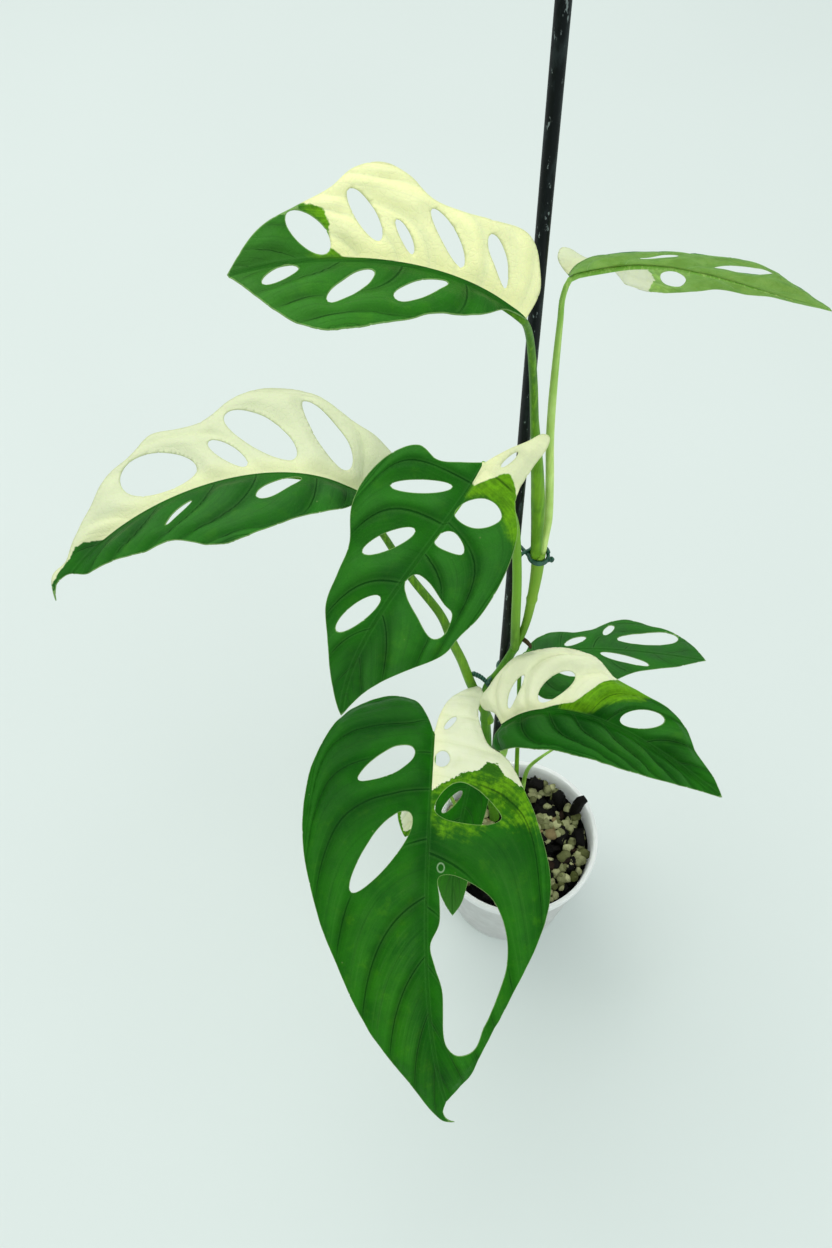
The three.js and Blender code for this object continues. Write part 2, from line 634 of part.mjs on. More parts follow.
add('pot', potGeometry(), colours.pot, 0.4);
add('potting_mix', mixGeometry(), colours.mix, 0.95);
add('stake', tube(stake), colours.stake, 0.6);
add('vine_stem', tube(stem), colours.stem);
const stemSleeve = solidOf(tube(stem, clearance));
for (const [key, stalk] of Object.entries(stalks)) {
  const whole = tube(stalk);
  const seated = stalk.cut ? geometryOf(largest(solidOf(whole).subtract(stemSleeve))) : whole;
  add(`stalk_${key}`, seated, colours.stalk);
}
add('sprout', tube(sprout), colours.stalk);
add('aerial_root', geometryOf(largest(solidOf(tube(aerialRoot)).subtract(stemSleeve))), colours.root, 0.9);
for (const [key, blade] of Object.entries(blades)) {
  add(`leaf_${key}`, bladeGeometry(blade), blade.cream > 0.45 ? colours.creamLeaf : colours.leaf, 0.4);
}
for (const [name, tie] of Object.entries(ties)) {
  add(`tie_${name}`, tieGeometry(tie), colours.tie);
}

export default part;
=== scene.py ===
# A potted variegated swiss cheese vine on its stake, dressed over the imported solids.
# Metres, +Z up, -Y towards the viewer. Leaf patterns and routes are noted in millimetres.
import bpy
import bmesh
import random
from math import atan2, copysign, cos, exp, hypot, pi, radians, sin, sqrt
from mathutils import Matrix, Vector, kdtree, noise


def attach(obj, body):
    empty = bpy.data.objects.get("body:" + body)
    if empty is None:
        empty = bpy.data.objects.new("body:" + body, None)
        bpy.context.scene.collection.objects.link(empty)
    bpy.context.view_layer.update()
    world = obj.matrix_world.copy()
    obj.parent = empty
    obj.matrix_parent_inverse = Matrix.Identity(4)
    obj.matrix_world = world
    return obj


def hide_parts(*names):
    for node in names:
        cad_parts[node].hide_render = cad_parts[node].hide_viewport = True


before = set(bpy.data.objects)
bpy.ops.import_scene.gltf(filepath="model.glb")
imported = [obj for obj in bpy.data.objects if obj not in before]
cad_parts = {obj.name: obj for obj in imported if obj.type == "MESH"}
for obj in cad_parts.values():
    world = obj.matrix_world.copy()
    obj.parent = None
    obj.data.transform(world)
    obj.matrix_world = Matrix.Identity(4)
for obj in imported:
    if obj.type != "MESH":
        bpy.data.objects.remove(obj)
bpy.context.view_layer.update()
scene = bpy.context.scene
scene.view_settings.view_transform = "Standard"
mm = 0.001


# Shader maths: a socket that takes Python's arithmetic
class Wire:
    def __init__(self, tree, socket):
        self.tree = tree
        self.socket = socket

    def math(self, operation, *values):
        return addNode(self.tree, "Math", {"operation": operation}, dict(enumerate(values)))

    def __add__(self, other):
        return self.math("ADD", self, other)

    def __sub__(self, other):
        return self.math("SUBTRACT", self, other)

    def __rsub__(self, other):
        return self.math("SUBTRACT", other, self)

    def __mul__(self, other):
        return self.math("MULTIPLY", self, other)

    __radd__ = __add__
    __rmul__ = __mul__

    def size(self):
        return self.math("ABSOLUTE", self)

    def smooth(self, low, high):  # 0 at low, 1 at high, eased between
        return addNode(self.tree, "MapRange", {"interpolation_type": "SMOOTHSTEP"},
                       {0: self, 1: low, 2: high, 3: 0.0, 4: 1.0})

    def fraction(self):
        return self.math("FRACT", self)

    def root(self):
        return self.math("SQRT", self)


def feed(tree, socket, value):
    if isinstance(value, Wire):
        tree.links.new(value.socket, socket)
    else:
        socket.default_value = (*value, 1) if socket.type == "RGBA" else value


def addNode(tree, kind, settings, inputs, out=0):
    node = tree.nodes.new("ShaderNode" + kind)
    for name, value in settings.items():
        setattr(node, name, value)
    for name, value in inputs.items():
        feed(tree, node.inputs[name], value)
    return Wire(tree, node.outputs[out])


def readLayer(tree, word):  # a value kept on the piece's vertices
    return addNode(tree, "Attribute", {"attribute_name": word}, {}, 2)


def mixColour(mask, low, high):
    return addNode(mask.tree, "Mix", {"data_type": "RGBA"}, {0: mask, 6: low, 7: high}, 2)


def paint(colour, coats):  # each coat is a mask and the colour that it lays over the rest
    for mask, tone in coats:
        colour = mixColour(mask, colour, tone)
    return colour


def grain(vector, scale, detail=2.0, rough=0.5, stretch=None):
    tree = vector.tree
    if stretch:
        vector = addNode(tree, "Mapping", {}, {"Vector": vector, "Scale": stretch})
    return addNode(tree, "TexNoise", {},
                   {"Vector": vector, "Scale": scale, "Detail": detail, "Roughness": rough})


def newMaterial(name):
    material = bpy.data.materials.new(name)
    material.use_nodes = True
    tree = material.node_tree
    tree.nodes.clear()
    shader = tree.nodes.new("ShaderNodeBsdfPrincipled")
    output = tree.nodes.new("ShaderNodeOutputMaterial")
    tree.links.new(shader.outputs[0], output.inputs[0])
    place = addNode(tree, "TexCoord", {}, {}, 3)
    return material, tree, shader, place


# bump is a height, its depth and strength; glow is a share, a reach for each colour and a scale
def finishMaterial(tree, shader, colour, rough, shine, bump=(), glow=(), extra=()):
    inputs = {"Base Color": colour, "Roughness": rough, "Specular IOR Level": shine, **dict(extra)}
    inputs.update(zip(("Subsurface Weight", "Subsurface Radius", "Subsurface Scale"), glow))
    if bump:
        inputs["Normal"] = addNode(tree, "Bump", {}, dict(zip(("Height", "Distance", "Strength"), bump)))
    for name, value in inputs.items():
        feed(tree, shader.inputs[name], value)


def makeObject(name, bm, materials):
    mesh = bpy.data.meshes.new(name)
    bm.to_mesh(mesh)
    bm.free()
    for material in materials:
        mesh.materials.append(material)
    made = bpy.data.objects.new(name, mesh)
    scene.collection.objects.link(made)
    return made


def finishPiece(name, bm, materials, nodes=()):
    piece = makeObject(name, bm, materials)
    piece.data.shade_smooth()
    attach(piece, "root")
    if nodes:
        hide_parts(*nodes)
    return piece


# Camera at the photograph's place, looking steeply down on the plant
view = {"place": (-0.0549, -0.2864, 0.7944), "tilt": 30.5, "lens": 40.0, "frame": 36.0}
camera = bpy.data.objects.new("camera", bpy.data.cameras.new("camera"))
camera.data.sensor_fit = "VERTICAL"
camera.data.sensor_height = view["frame"]
camera.data.lens = view["lens"]
camera.data.clip_start = 0.01
camera.location = view["place"]
camera.rotation_euler = (radians(view["tilt"]), 0, 0)
scene.collection.objects.link(camera)
scene.camera = camera

# Pale studio: a floor that fills the view, and wide soft lamps
studio = {
    "floorSize": 16.0,
    "floorColour": (0.685, 0.74, 0.722),
    "worldColour": (0.93, 1.0, 0.985),
    "worldStrength": 0.75,
    "lamps": [
        {"place": (-0.5, 0.55, 1.7), "aim": (0, 0, 0.3), "size": 1.5, "power": 14,
         "colour": (1, 0.99, 0.96)},
        {"place": (0.9, -0.9, 1.5), "aim": (0, 0, 0.2), "size": 1.2, "power": 7, "colour": (0.95, 1, 1)},
    ],
}
paleFloor, tree, shader, place = newMaterial("paleFloor")
cloudy = grain(place, 1.6, 3).smooth(0.3, 0.7)
tones = [0.97 * c for c in studio["floorColour"]], studio["floorColour"]
finishMaterial(tree, shader, mixColour(cloudy, *tones), 0.75, 0.2)
bm = bmesh.new()
bmesh.ops.create_grid(bm, x_segments=2, y_segments=2, size=studio["floorSize"] / 2)
floor = makeObject("floor", bm, [paleFloor])

world = bpy.data.worlds.new("softDay")
world.use_nodes = True
world.node_tree.nodes["Background"].inputs[0].default_value = (*studio["worldColour"], 1)
world.node_tree.nodes["Background"].inputs[1].default_value = studio["worldStrength"]
scene.world = world
for i, lamp in enumerate(studio["lamps"]):
    light = bpy.data.lights.new(f"lamp{i}", "AREA")
    light.size = lamp["size"]
    light.energy = lamp["power"]
    light.color = lamp["colour"]
    holder = bpy.data.objects.new(f"lamp{i}", light)
    holder.location = lamp["place"]
    aim = Vector(lamp["aim"]) - Vector(lamp["place"])
    holder.rotation_euler = aim.to_track_quat("-Z", "Y").to_euler()
    scene.collection.objects.link(holder)
print("studio set")


# Smooth lines: a centripetal curve through the points, in even steps
def curvePoint(ends, knots, t):
    first = [ends[j].lerp(ends[j + 1], (t - knots[j]) / (knots[j + 1] - knots[j])) for j in range(3)]
    second = [first[j].lerp(first[j + 1], (t - knots[j]) / (knots[j + 2] - knots[j])) for j in range(2)]
    return second[0].lerp(second[1], (t - knots[1]) / (knots[2] - knots[1]))


def runLengths(points):  # how far along the line each point lies
    lengths = [0.0]
    for a, b in zip(points, points[1:]):
        lengths.append(lengths[-1] + (Vector(b) - Vector(a)).length)
    return lengths


def smoothLine(points, step, closed=False, parts=16):
    points = [Vector(p).to_3d() for p in points]
    count = len(points)
    dense = []
    for i in range(count if closed else count - 1):
        p1, p2 = points[i], points[(i + 1) % count]
        p0 = points[i - 1] if closed or i > 0 else p1 * 2 - p2
        p3 = points[(i + 2) % count] if closed or i + 2 < count else p2 * 2 - p1
        knots = [0.0]
        for a, b in ((p0, p1), (p1, p2), (p2, p3)):
            knots.append(knots[-1] + max(1e-4, sqrt((b - a).length)))
        for k in range(parts):
            dense.append(curvePoint((p0, p1, p2, p3), knots, knots[1] + (knots[2] - knots[1]) * k / parts))
    dense.append(points[0] if closed else points[-1])
    lengths = runLengths(dense)
    steps = max(2, round(lengths[-1] / step))
    line, j = [], 0
    for i in range(steps if closed else steps + 1):
        aim = lengths[-1] * i / steps
        while j < len(dense) - 2 and lengths[j + 1] < aim:
            j += 1
        span = lengths[j + 1] - lengths[j]
        line.append(dense[j].lerp(dense[j + 1], min(1.0, (aim - lengths[j]) / span if span else 0)))
    return line


def along(values, t):
    spot = min(max(t, 0.0), 1.0) * (len(values) - 1)
    i = min(int(spot), len(values) - 2)
    return values[i] + (values[i + 1] - values[i]) * (spot - i)


# Leaves. x runs along the midrib and y across it, in millimetres on the flat blade; left and
# right are the half outlines between base and tip. A hole is an outline or what oval takes. The
# flat blade is bent along its midrib curve, its face leans from face[0] to face[1], and its
# halves lift and curl by the angles in degrees.
def oval(x, y, long, wide, turn, fuller=0.0, count=24):
    angle = radians(turn)
    points = []
    for i in range(count):
        phase = 2 * pi * i / count
        a = long / 2 * cos(phase)
        b = wide / 2 * sin(phase) * (1 + fuller * cos(phase))
        points.append((x + a * cos(angle) - b * sin(angle),
                       y + a * sin(angle) + b * cos(angle)))
    return points


blades = {
    "a": {
        "length": 92,
        "midrib": [(-24, -14, 501), (-42, -14, 525), (-76, -18, 534), (-103, -30, 535)],
        "face": [(0, -0.2, 1), (0, -0.3, 1)],
        "lift": ([16, 16], [20, 20]),
        "left": [(8, 1.5), (17, 8), (27, 13.5), (39, 17.5), (54, 23.5), (66, 26), (74, 25), (81, 20),
         (87, 11)],
        "right": [(1, 9), (7, 17.5), (12, 20), (21, 18.5), (30, 17.5), (38, 18.5), (44, 23), (50, 25.5),
         (57, 23.5), (63, 18), (71, 14), (81, 9.5)],
        "holes": [(79, 4, 12, 5, 24, -0.2), (61, 10, 20, 5.5, 38), (40, 8.5, 22, 5.5, 32, 0.3),
         (69, -7, 14, 7.5, -50), (54.5, -11.5, 15, 5.5, -60), (44, -7, 10, 3, -57), (32, -9.5, 17, 5, -48),
         (16, -9, 15, 4.5, -50, 0.3)],
    },
    "b": {
        "length": 83,
        "midrib": [(-8, 21, 482.5), (16, 25, 494.5), (47, 21, 478.5), (71.3, 9, 481.5)],
        "face": [(0, 0.91, 0.41), (-0.05, 0.91, 0.41)],
        "lift": ([75, 25, 3, 0, 0, 0, 0, 0, 0], [-16, -12, -9, -8]),
        "left": [(-1.2, 4), (-1.4, 8), (0.8, 11.4), (2.6, 11.2), (4.4, 9.4), (7, 8), (9.5, 9.5), (15, 16),
         (23, 23), (33, 25), (41, 21), (50, 13), (62, 8), (73, 5)],
        "right": [(3, 12), (9, 18), (22, 19), (36, 18), (48, 20), (58, 20), (67, 15), (75, 9)],
        "holes": [(27, -9, 13, 6, -40), (52, -12, 19, 7, -32), (36, 11, 14, 8, 70)],
    },
    "c": {
        "length": 130,
        "midrib": [(-73, -5, 404), (-101, -2, 437), (-165, -15, 410), (-178, -40, 390)],
        "face": [(0, 0, 1), (0, 0, 1)],
        "lift": ([6, 6], [8, 8]),
        "left": [(6, 8), (15, 14), (27, 19), (41, 24.5), (54, 28), (62, 26), (74, 18), (86, 15.5),
         (100, 10), (111, 5.5), (117, -1), (123, -2.5)],
        "right": [(-5, 6), (-8, 13), (-7, 20), (0, 23.5), (8, 25), (21, 31), (33, 33), (44, 31), (57, 23.5),
         (64, 24), (71, 25.5), (79, 21), (88, 18.5), (96, 13), (106, 8), (114, 4.5), (121, 5.5)],
        "holes": [(17, -17, 28, 10, -54, -0.3), (38.5, -15, 28, 11.5, -43), (50, -9.5, 16, 5.5, -49),
         (72.5, -10.5, 25, 15, -20, 0.2), (34.5, 6.5, 19, 5.5, 29, 0.3), (70, 7.5, 12, 2.2, 24)],
    },
    "d": {
        "length": 105,
        "midrib": [(-32, -8, 427), (-49, -31, 409), (-79, -55, 396), (-81, -70, 363)],
        "face": [(0, -0.4, 1), (0, -0.5, 1)],
        "left": [(-3, 1.6), (-8, 5), (-13, 9.5), (-16.5, 12.6), (-16.6, 15.2), (-14, 16), (-5, 14.5),
         (5, 15), (14, 22), (27, 26.5), (42, 28), (52, 26.5), (61, 25.5), (74, 18), (89, 8.5)],
        "right": [(4, 6.5), (8, 14), (7, 21.5), (14, 27.5), (27, 30.5), (38, 28.5), (49, 21.5), (58, 19.5),
         (68, 17.5), (78, 11.5), (88, 6.5)],
        "holes": [(19, -13.5, 21, 4.5, -55), (40, -11.5, 19, 5.5, -31), (65.5, -6.5, 19, 6, -21),
         [(20, 0.8), (15, 1.5), (10.5, 6), (10, 11), (12.5, 14.5), (16.5, 13), (20, 9), (21, 4)],
         [(31.5, 1.2), (27, 1.5), (25, 4.5), (27, 10), (29, 11), (31, 7)], [(48, 1.2), (43.5, 2.5), (43, 7),
         (46, 16), (47, 20), (56, 21.5), (58.5, 19), (55, 11), (51.5, 4.5)], (-4.6, 6.6, 7.5, 1.8, -21)],
    },
    "e": {
        "length": 183,
        "midrib": [(-47, -20, 248), (-50, -80, 265), (-57, -146, 223), (-38, -169, 172)],
        "face": [(0, 0, 1), (0, -0.4, 1)],
        "lift": ([-5, -5], [-5, -5]),
        "left": [(-13, 2.5), (-25, 7.5), (-32, 14), (-34, 20), (-29, 22), (-18, 19.5), (-8, 20), (3, 24),
         (10, 32), (28, 41.5), (50, 49), (68, 52), (84, 50), (104, 42.5), (126, 31.5), (146, 20.5),
         (160, 11), (168, 1), (173, -2.5), (178, -2.5)],
        "right": [(-11, 3.5), (-21, 9), (-25.5, 18.5), (-25, 27), (-18, 36.5), (-3, 46), (10, 50.5),
         (23, 53), (39, 54), (56, 52.5), (83, 45), (106, 35.5), (128, 26), (153, 13), (166, 8.5),
         (178, 4.5)],
        "holes": [(16.5, -20, 28, 11.5, -55, -0.3), (56, -20, 41, 12.5, -34, -0.2), (-7, 7, 10, 3, -29),
         (13, 4.2, 8.5, 6.5, -10), [(37, 2), (28, 6), (24, 12), (27, 20), (34, 27.5), (39, 30.5), (42, 26),
         (42.5, 14), (40.5, 5)], [(66, 5), (65, 11), (73, 26), (81, 31), (91, 33.5), (104, 33.5), (116, 30),
         (133, 22.5), (145, 16.5), (145.5, 10), (139, 5.5), (113, 6), (103, 3.5), (94, 1.8), (85, 5.5),
         (75, 5.5)]],
    },
    "f": {
        "length": 130,
        "midrib": [(-17, -15, 246), (8, -12, 288), (59, -20, 225), (85, -34, 210)],
        "face": [(0, 0, 1), (0, -0.2, 1)],
        "lift": ([30, 10], [8, 8]),
        "curl": ([-1.6, -0.8], [0, 0]),
        "left": [(0, 6), (-4, 11), (-4.5, 16), (1, 18.5), (7, 23), (15, 27), (26, 29), (38, 29.5), (48, 28),
         (57, 21), (70, 19.5), (84, 19.5), (94, 16), (103, 10), (118, 5)],
        "right": [(-6, 2), (-7, 6), (-4, 10.5), (2, 13.5), (12, 17), (24, 20), (45, 21), (62, 19.5),
         (79, 16), (96, 11), (117, 4)],
        "holes": [(31.5, 10.5, 21, 8.5, 39), (12.5, 10.5, 16, 4, 49), (74, 8.5, 22, 8, 28)],
    },
    "g": {
        "length": 88,
        "midrib": [(-3, 35, 223), (25, 39, 224), (55, 39, 218), (84, 35, 215)],
        "face": [(0, -0.1, 1), (0, -0.1, 1)],
        "lift": ([-20, -20], [0, 0]),
        "left": [(4, 5.5), (13, 10.5), (25, 10), (34, 12), (46, 19), (53, 20), (62, 17), (70, 15.5),
         (78, 11)],
        "right": [(-2, 9), (-1, 17), (4, 24), (14, 25), (28, 21), (40, 17.5), (52, 12), (63, 9), (74, 6)],
        "holes": [(25, 4.5, 12, 3.5, 23), (42, 12, 8.5, 3.5, 50), (60, 8.5, 30, 8, 10, 0.3),
         (48, -5, 24, 4, -12), (18, -12, 12.5, 4, -20)],
    },
    "h": {
        "length": 88,
        "midrib": [(-24, 17, 150), (-31, -11, 142), (-38, -34, 123), (-36, -53, 100)],
        "face": [(0, -0.2, 1), (0, -0.5, 1)],
        "left": [(6, 2.5), (10, 7), (16, 10.5), (22, 11.5), (48, 9.5), (72, 7), (81, 4.5)],
        "right": [(4, 5.5), (11, 10), (20, 13.5), (29, 14.5), (50, 11), (72, 7), (80, 4)],
        "holes": [(27, -6.5, 15, 4, -31)],
    },
    "i": {
        "length": 43,
        "midrib": [(-44, 17, 125), (-50, 6, 120), (-57, -3, 110), (-61, -9, 98)],
        "face": [(0, -0.2, 1), (0, -0.5, 1)],
        "left": [(4, 5), (10, 7), (19, 7), (28, 6), (37, 3.5)],
        "right": [(4, 5.5), (11, 9.5), (20, 10.5), (28, 9.5), (37, 4.5)],
    },
}

# Cream sectors and lime green patches, as rough outlines on the flat blade that run past its
# edge, and how ragged they are. veins tells where the side veins leave the midrib, left and right;
# tone goes from dark to light green from base to tip, and where it falls below 0 it paints a satin
# sheen; the other values are strengths. fold also sets the painted light and shade across the
# folds, and a painted greyish sheen over the green, which also dulls the cream, has a strength of its own.
leafLooks = {
    "a": {"cream": [(-10, 0), (60, 0), (64, -3), (64, -9), (65, -13), (71, -15), (74, -20), (74, -45),
          (-10, -45)], "lime": [(54, 0), (68, 0), (68, -5), (68, -14), (60, -14)], "tone": (0.0, -0.5),
          "fold": 1.35, "sheenAndDim": 0.15, "veins": ([8, 24, 44, 61, 80], [4, 19, 36, 45, 56, 72, 84]),
          "warm": 1.0, "ragged": 0.5},
    "b": {"cream": [(-9, 1), (24, 0), (27, 8), (31, 15), (31, 45), (-9, 45)], "lime": [(-9, 1), (30, 0),
          (36, 8), (38, 20), (38, 45), (-9, 45)], "sheenAndDim": 0.9,
          "veins": ([8, 26, 46, 60, 72], [6, 18, 37, 62, 74]), "warm": 0.55, "ragged": 0.8},
    "c": {"cream": [(-15, 0), (98, 0), (104, -3.5), (108, -5), (113, -4), (140, -4), (140, -50),
          (-15, -50)], "sheenAndDim": 0.8, "fold": 1.5, "tone": (0.25, 0.15),
          "veins": ([8, 20, 42, 56, 76, 94, 112], [2, 28, 42, 58, 86, 101, 115]), "warm": 0.5,
          "ragged": 0.4},
    "d": {"cream": [(10, 0), (7, 2), (3.5, 4.6), (0, 7.4), (-0.7, 9), (0.4, 11), (4.5, 15), (4.5, 30),
          (-30, 30), (-30, -4), (1, -1)], "lime": [(14, 0), (11, 3), (9.5, 7), (9.5, 11), (12, 15.5),
          (15, 19), (19, 27), (-30, 30), (-30, 0)], "tone": (0.35, 0), "fold": 1.6, "sheenAndDim": 0.3,
          "veins": ([2, 23.5, 36, 61, 78, 92], [8.5, 25, 49, 68, 84, 96]), "warm": 0.6, "ragged": 0.3},
    "e": {"cream": [(29, 0), (26, 4), (23, 8), (20, 13), (18, 20.5), (14, 23), (14.5, 28), (20, 31.5),
          (24, 40), (24, 70), (-50, 70), (-50, 0)], "lime": [(34, 0), (40, 1), (45, 5), (46, 12), (43, 20),
          (40, 27), (40, 33), (41, 39), (42, 45), (43, 51), (43, 70), (-50, 70), (-50, 0)],
          "tone": (1.0, 0.8, 0.4, 0.15, 0.05, 0), "sweep": 0.6, "fold": 1.35,
          "veins": ([-12, 4, 21, 56, 78, 102, 126, 150], [-8, 10, 28, 50, 74, 98, 122, 146]), "warm": 0.15,
          "ragged": 1.0, "mark": 1.0},
    "f": {"cream": [(-10, 0), (24, 0.3), (34, 2.6), (40, 4), (45, 9), (50.5, 15), (58, 19.5), (64, 26),
          (60, 50), (-15, 50)], "lime": [(34, 0.5), (45, 0.6), (50, 2.2), (53, 6), (61.5, 11.7),
          (70.5, 15.5), (80, 26), (60, 50), (30, 40)], "tone": (1.2, 1.0, 0.5, 0.15, -0.2), "fold": 2.2,
          "veins": ([2, 16, 34, 49, 58, 80, 98, 114], [12, 28, 41, 56, 73, 91, 109]), "warm": 0.3,
          "ragged": 0.2},
    "g": {"sheenAndDim": 1.4, "fold": 1.3, "tone": (0.3, 0.1),
          "veins": ([4, 17, 33, 48, 68, 78], [4, 26, 38, 62, 76])},
    "h": {"tone": (0.9, 0.6, -0.2, -0.6), "veins": ([4, 16, 28, 42, 56, 70], [6, 18, 34, 48, 62, 76])},
    "i": {"cream": [(3, -2), (10, -6), (20, -8), (30, -7), (39, -2), (39, 0.5), (30, 3), (12, 4), (3, 2)],
          "lime": [(-5, -20), (45, -20), (45, 4), (-5, 5)], "veins": ([4, 13, 22, 31], [4, 13, 22, 31]),
          "ragged": 0.6},
}
leafWords = ("cream", "lime", "rim", "vein", "tone", "warm", "sheenAndDim", "ragged", "mark", "fold")
leafMake = {
    "cell": 1.1,  # size of the flat blade's cells, mm
    "thickness": 0.36,
    "quilt": 1.5,  # how far the blade swells between its side veins
    "lesser": 0.15,  # the share of it between lesser veins
    "flatRim": (0.9, 5.0),  # how much of it dies out at the rim, and over what width
    "trough": (0.6, 4.0),  # depth and half width of the dip along the midrib
    "groove": (0.5, 0.7),  # and of the sharp groove in it
    "ripple": (1.0, 15.0),  # slow unevenness of the sheet: depth and length
    "fineRipple": (0.4, 2.7),  # and how much shallower and shorter a finer one is
    "turn": (0.02, 0.25),  # how soon side veins turn to the tip, at the base, and more further on
    "spread": (1.02, 0.9),  # how far out they run, and how much less further on
    "halvings": 24,  # how often the search for a vein's root is halved
    "stray": 400.0,  # the distance given where a leaf has no such patch
    "scar": (62, 5.6, 0.6),  # middle of the ring mark, and how it is squashed along the leaf
    "midribEdge": 8,  # how much sharper a patch ends at the midrib
    "sheet": 100,  # mm of flat blade to one unit of the flat UV map
}


def midribPlace(blade, t):
    p0, p1, p2, p3 = [Vector(p) for p in blade["midrib"]]
    u = 1 - t
    middle = p0 * u ** 3 + p1 * (3 * u * u * t) + p2 * (3 * u * t * t) + p3 * t ** 3
    forward = ((p1 - p0) * u * u + (p2 - p1) * 2 * u * t + (p3 - p2) * t * t).normalized()
    normal = Vector(blade["face"][0]).lerp(Vector(blade["face"][1]), min(max(t, 0), 1))
    normal = (normal - forward * normal.dot(forward)).normalized()
    return middle, forward, normal


def bladePoint(blade, x, y, rise):
    t = x / blade["length"]
    middle, forward, normal = midribPlace(blade, t)
    if y == 0:
        return middle + normal * rise
    side = 0 if y > 0 else 1
    lift, curl = [radians(along(blade[word][side], t)) if word in blade else 0.0
                  for word in ("lift", "curl")]
    reach = abs(y)
    angle = lift + curl * reach
    if curl:
        out = (sin(angle) - sin(lift)) / curl
        up = (cos(lift) - cos(angle)) / curl
    else:
        out, up = reach * cos(lift), reach * sin(lift)
    across = normal.cross(forward) * copysign(1, y)
    return middle + across * (out - rise * sin(angle)) + normal * (up + rise * cos(angle))


def signedDistance(loop, x, y):  # above 0 inside the loop
    inside, best = False, 1e9
    for (ax, ay), (bx, by) in zip(loop, loop[1:] + loop[:1]):
        if (ay > y) != (by > y) and x < ax + (y - ay) * (bx - ax) / (by - ay):
            inside = not inside
        dx, dy = bx - ax, by - ay
        k = min(1.0, max(0.0, ((x - ax) * dx + (y - ay) * dy) / (dx * dx + dy * dy)))
        best = min(best, hypot(x - ax - k * dx, y - ay - k * dy))
    return best if inside else -best


def patchDistance(loop, x, y):  # a patch ends sharply at the midrib
    if not loop:
        return -leafMake["stray"]
    distance = signedDistance(loop, x, y)
    across = y * sum(p[1] for p in loop) < 0
    return distance * leafMake["midribEdge"] if across and distance < 0 else distance


def ease(value, low, high):
    t = min(1.0, max(0.0, (value - low) / (high - low)))
    return t * t * (3 - 2 * t)


def veinPhase(blade, look, x, y):  # whole numbers lie on side veins
    side = 0 if y > 0 else 1
    length, reach = blade["length"], abs(y)
    halfWidth = max(abs(p[1]) for p in blade[("left", "right")[side]])
    low, high, (spread, narrowing) = -length, x, leafMake["spread"]
    for _ in range(leafMake["halvings"]):  # find where the side vein through here leaves the midrib
        root = (low + high) / 2
        part = min(max(root / length, 0.0), 1.0)
        wide = halfWidth * (spread - narrowing * max(0.0, part - 0.1))
        turn = length * (leafMake["turn"][0] + look.get("sweep", leafMake["turn"][1]) * part * part)
        if wide * (x - root) > reach * (x - root + turn):
            low = root
        else:
            high = root
    roots = look["veins"][side]
    i = min(max(sum(root > start for start in roots) - 1, 0), len(roots) - 2)
    return i + (root - roots[i]) / (roots[i + 1] - roots[i])


def dipAt(x, y):  # the dip along the midrib
    dips = (leafMake["trough"], leafMake["groove"])
    return sum(foldLightShade * exp(-(y / wide) ** 2) for foldLightShade, wide in dips) * ease(x, 0, 10)


def flatSheet(loops, cell):
    bm = bmesh.new()
    for loop in loops:
        ring = [bm.verts.new(p) for p in loop]
        for a, b in zip(ring, ring[1:] + ring[:1]):
            bm.edges.new((a, b))
    bmesh.ops.triangle_fill(bm, use_beauty=True, use_dissolve=False, edges=bm.edges[:])
    for axis in (0, 1):
        places = [v.co[axis] for v in bm.verts]
        cut = min(places) + cell * 0.6
        across = Vector((1, 0, 0)) if axis == 0 else Vector((0, 1, 0))
        while cut < max(places):
            near = [f for f in bm.faces
                    if min(v.co[axis] for v in f.verts) < cut < max(v.co[axis] for v in f.verts)]
            near += list({e for f in near for e in f.edges}) + list({v for f in near for v in f.verts})
            bmesh.ops.bisect_plane(bm, geom=near, dist=1e-4, plane_co=across * cut, plane_no=across)
            cut += cell
    slanted = [e for e in bm.edges if not e.is_boundary
               and min(abs(e.verts[0].co.x - e.verts[1].co.x), abs(e.verts[0].co.y - e.verts[1].co.y)) > 1e-3]
    bmesh.ops.dissolve_edges(bm, edges=slanted, use_verts=False)
    spare = [v for v in bm.verts if len(v.link_edges) == 2 and not v.is_boundary]
    bmesh.ops.dissolve_verts(bm, verts=spare)
    bmesh.ops.remove_doubles(bm, verts=bm.verts[:], dist=cell * 0.2)
    bmesh.ops.triangulate(bm, faces=[f for f in bm.faces if len(f.verts) > 4])
    bmesh.ops.delete(bm, geom=[v for v in bm.verts if not v.link_faces], context="VERTS")
    if sum(f.normal.z * f.calc_area() for f in bm.faces) < 0:
        bmesh.ops.reverse_faces(bm, faces=bm.faces[:])
    return bm


def thicken(bm, rise):  # gives the sheet a second face, moved by rise, and an edge all round
    shell = bmesh.ops.extrude_face_region(bm, geom=bm.faces[:], use_keep_orig=True)
    moved = [v for v in shell["geom"] if isinstance(v, bmesh.types.BMVert)]
    bmesh.ops.translate(bm, verts=moved, vec=(0, 0, rise))


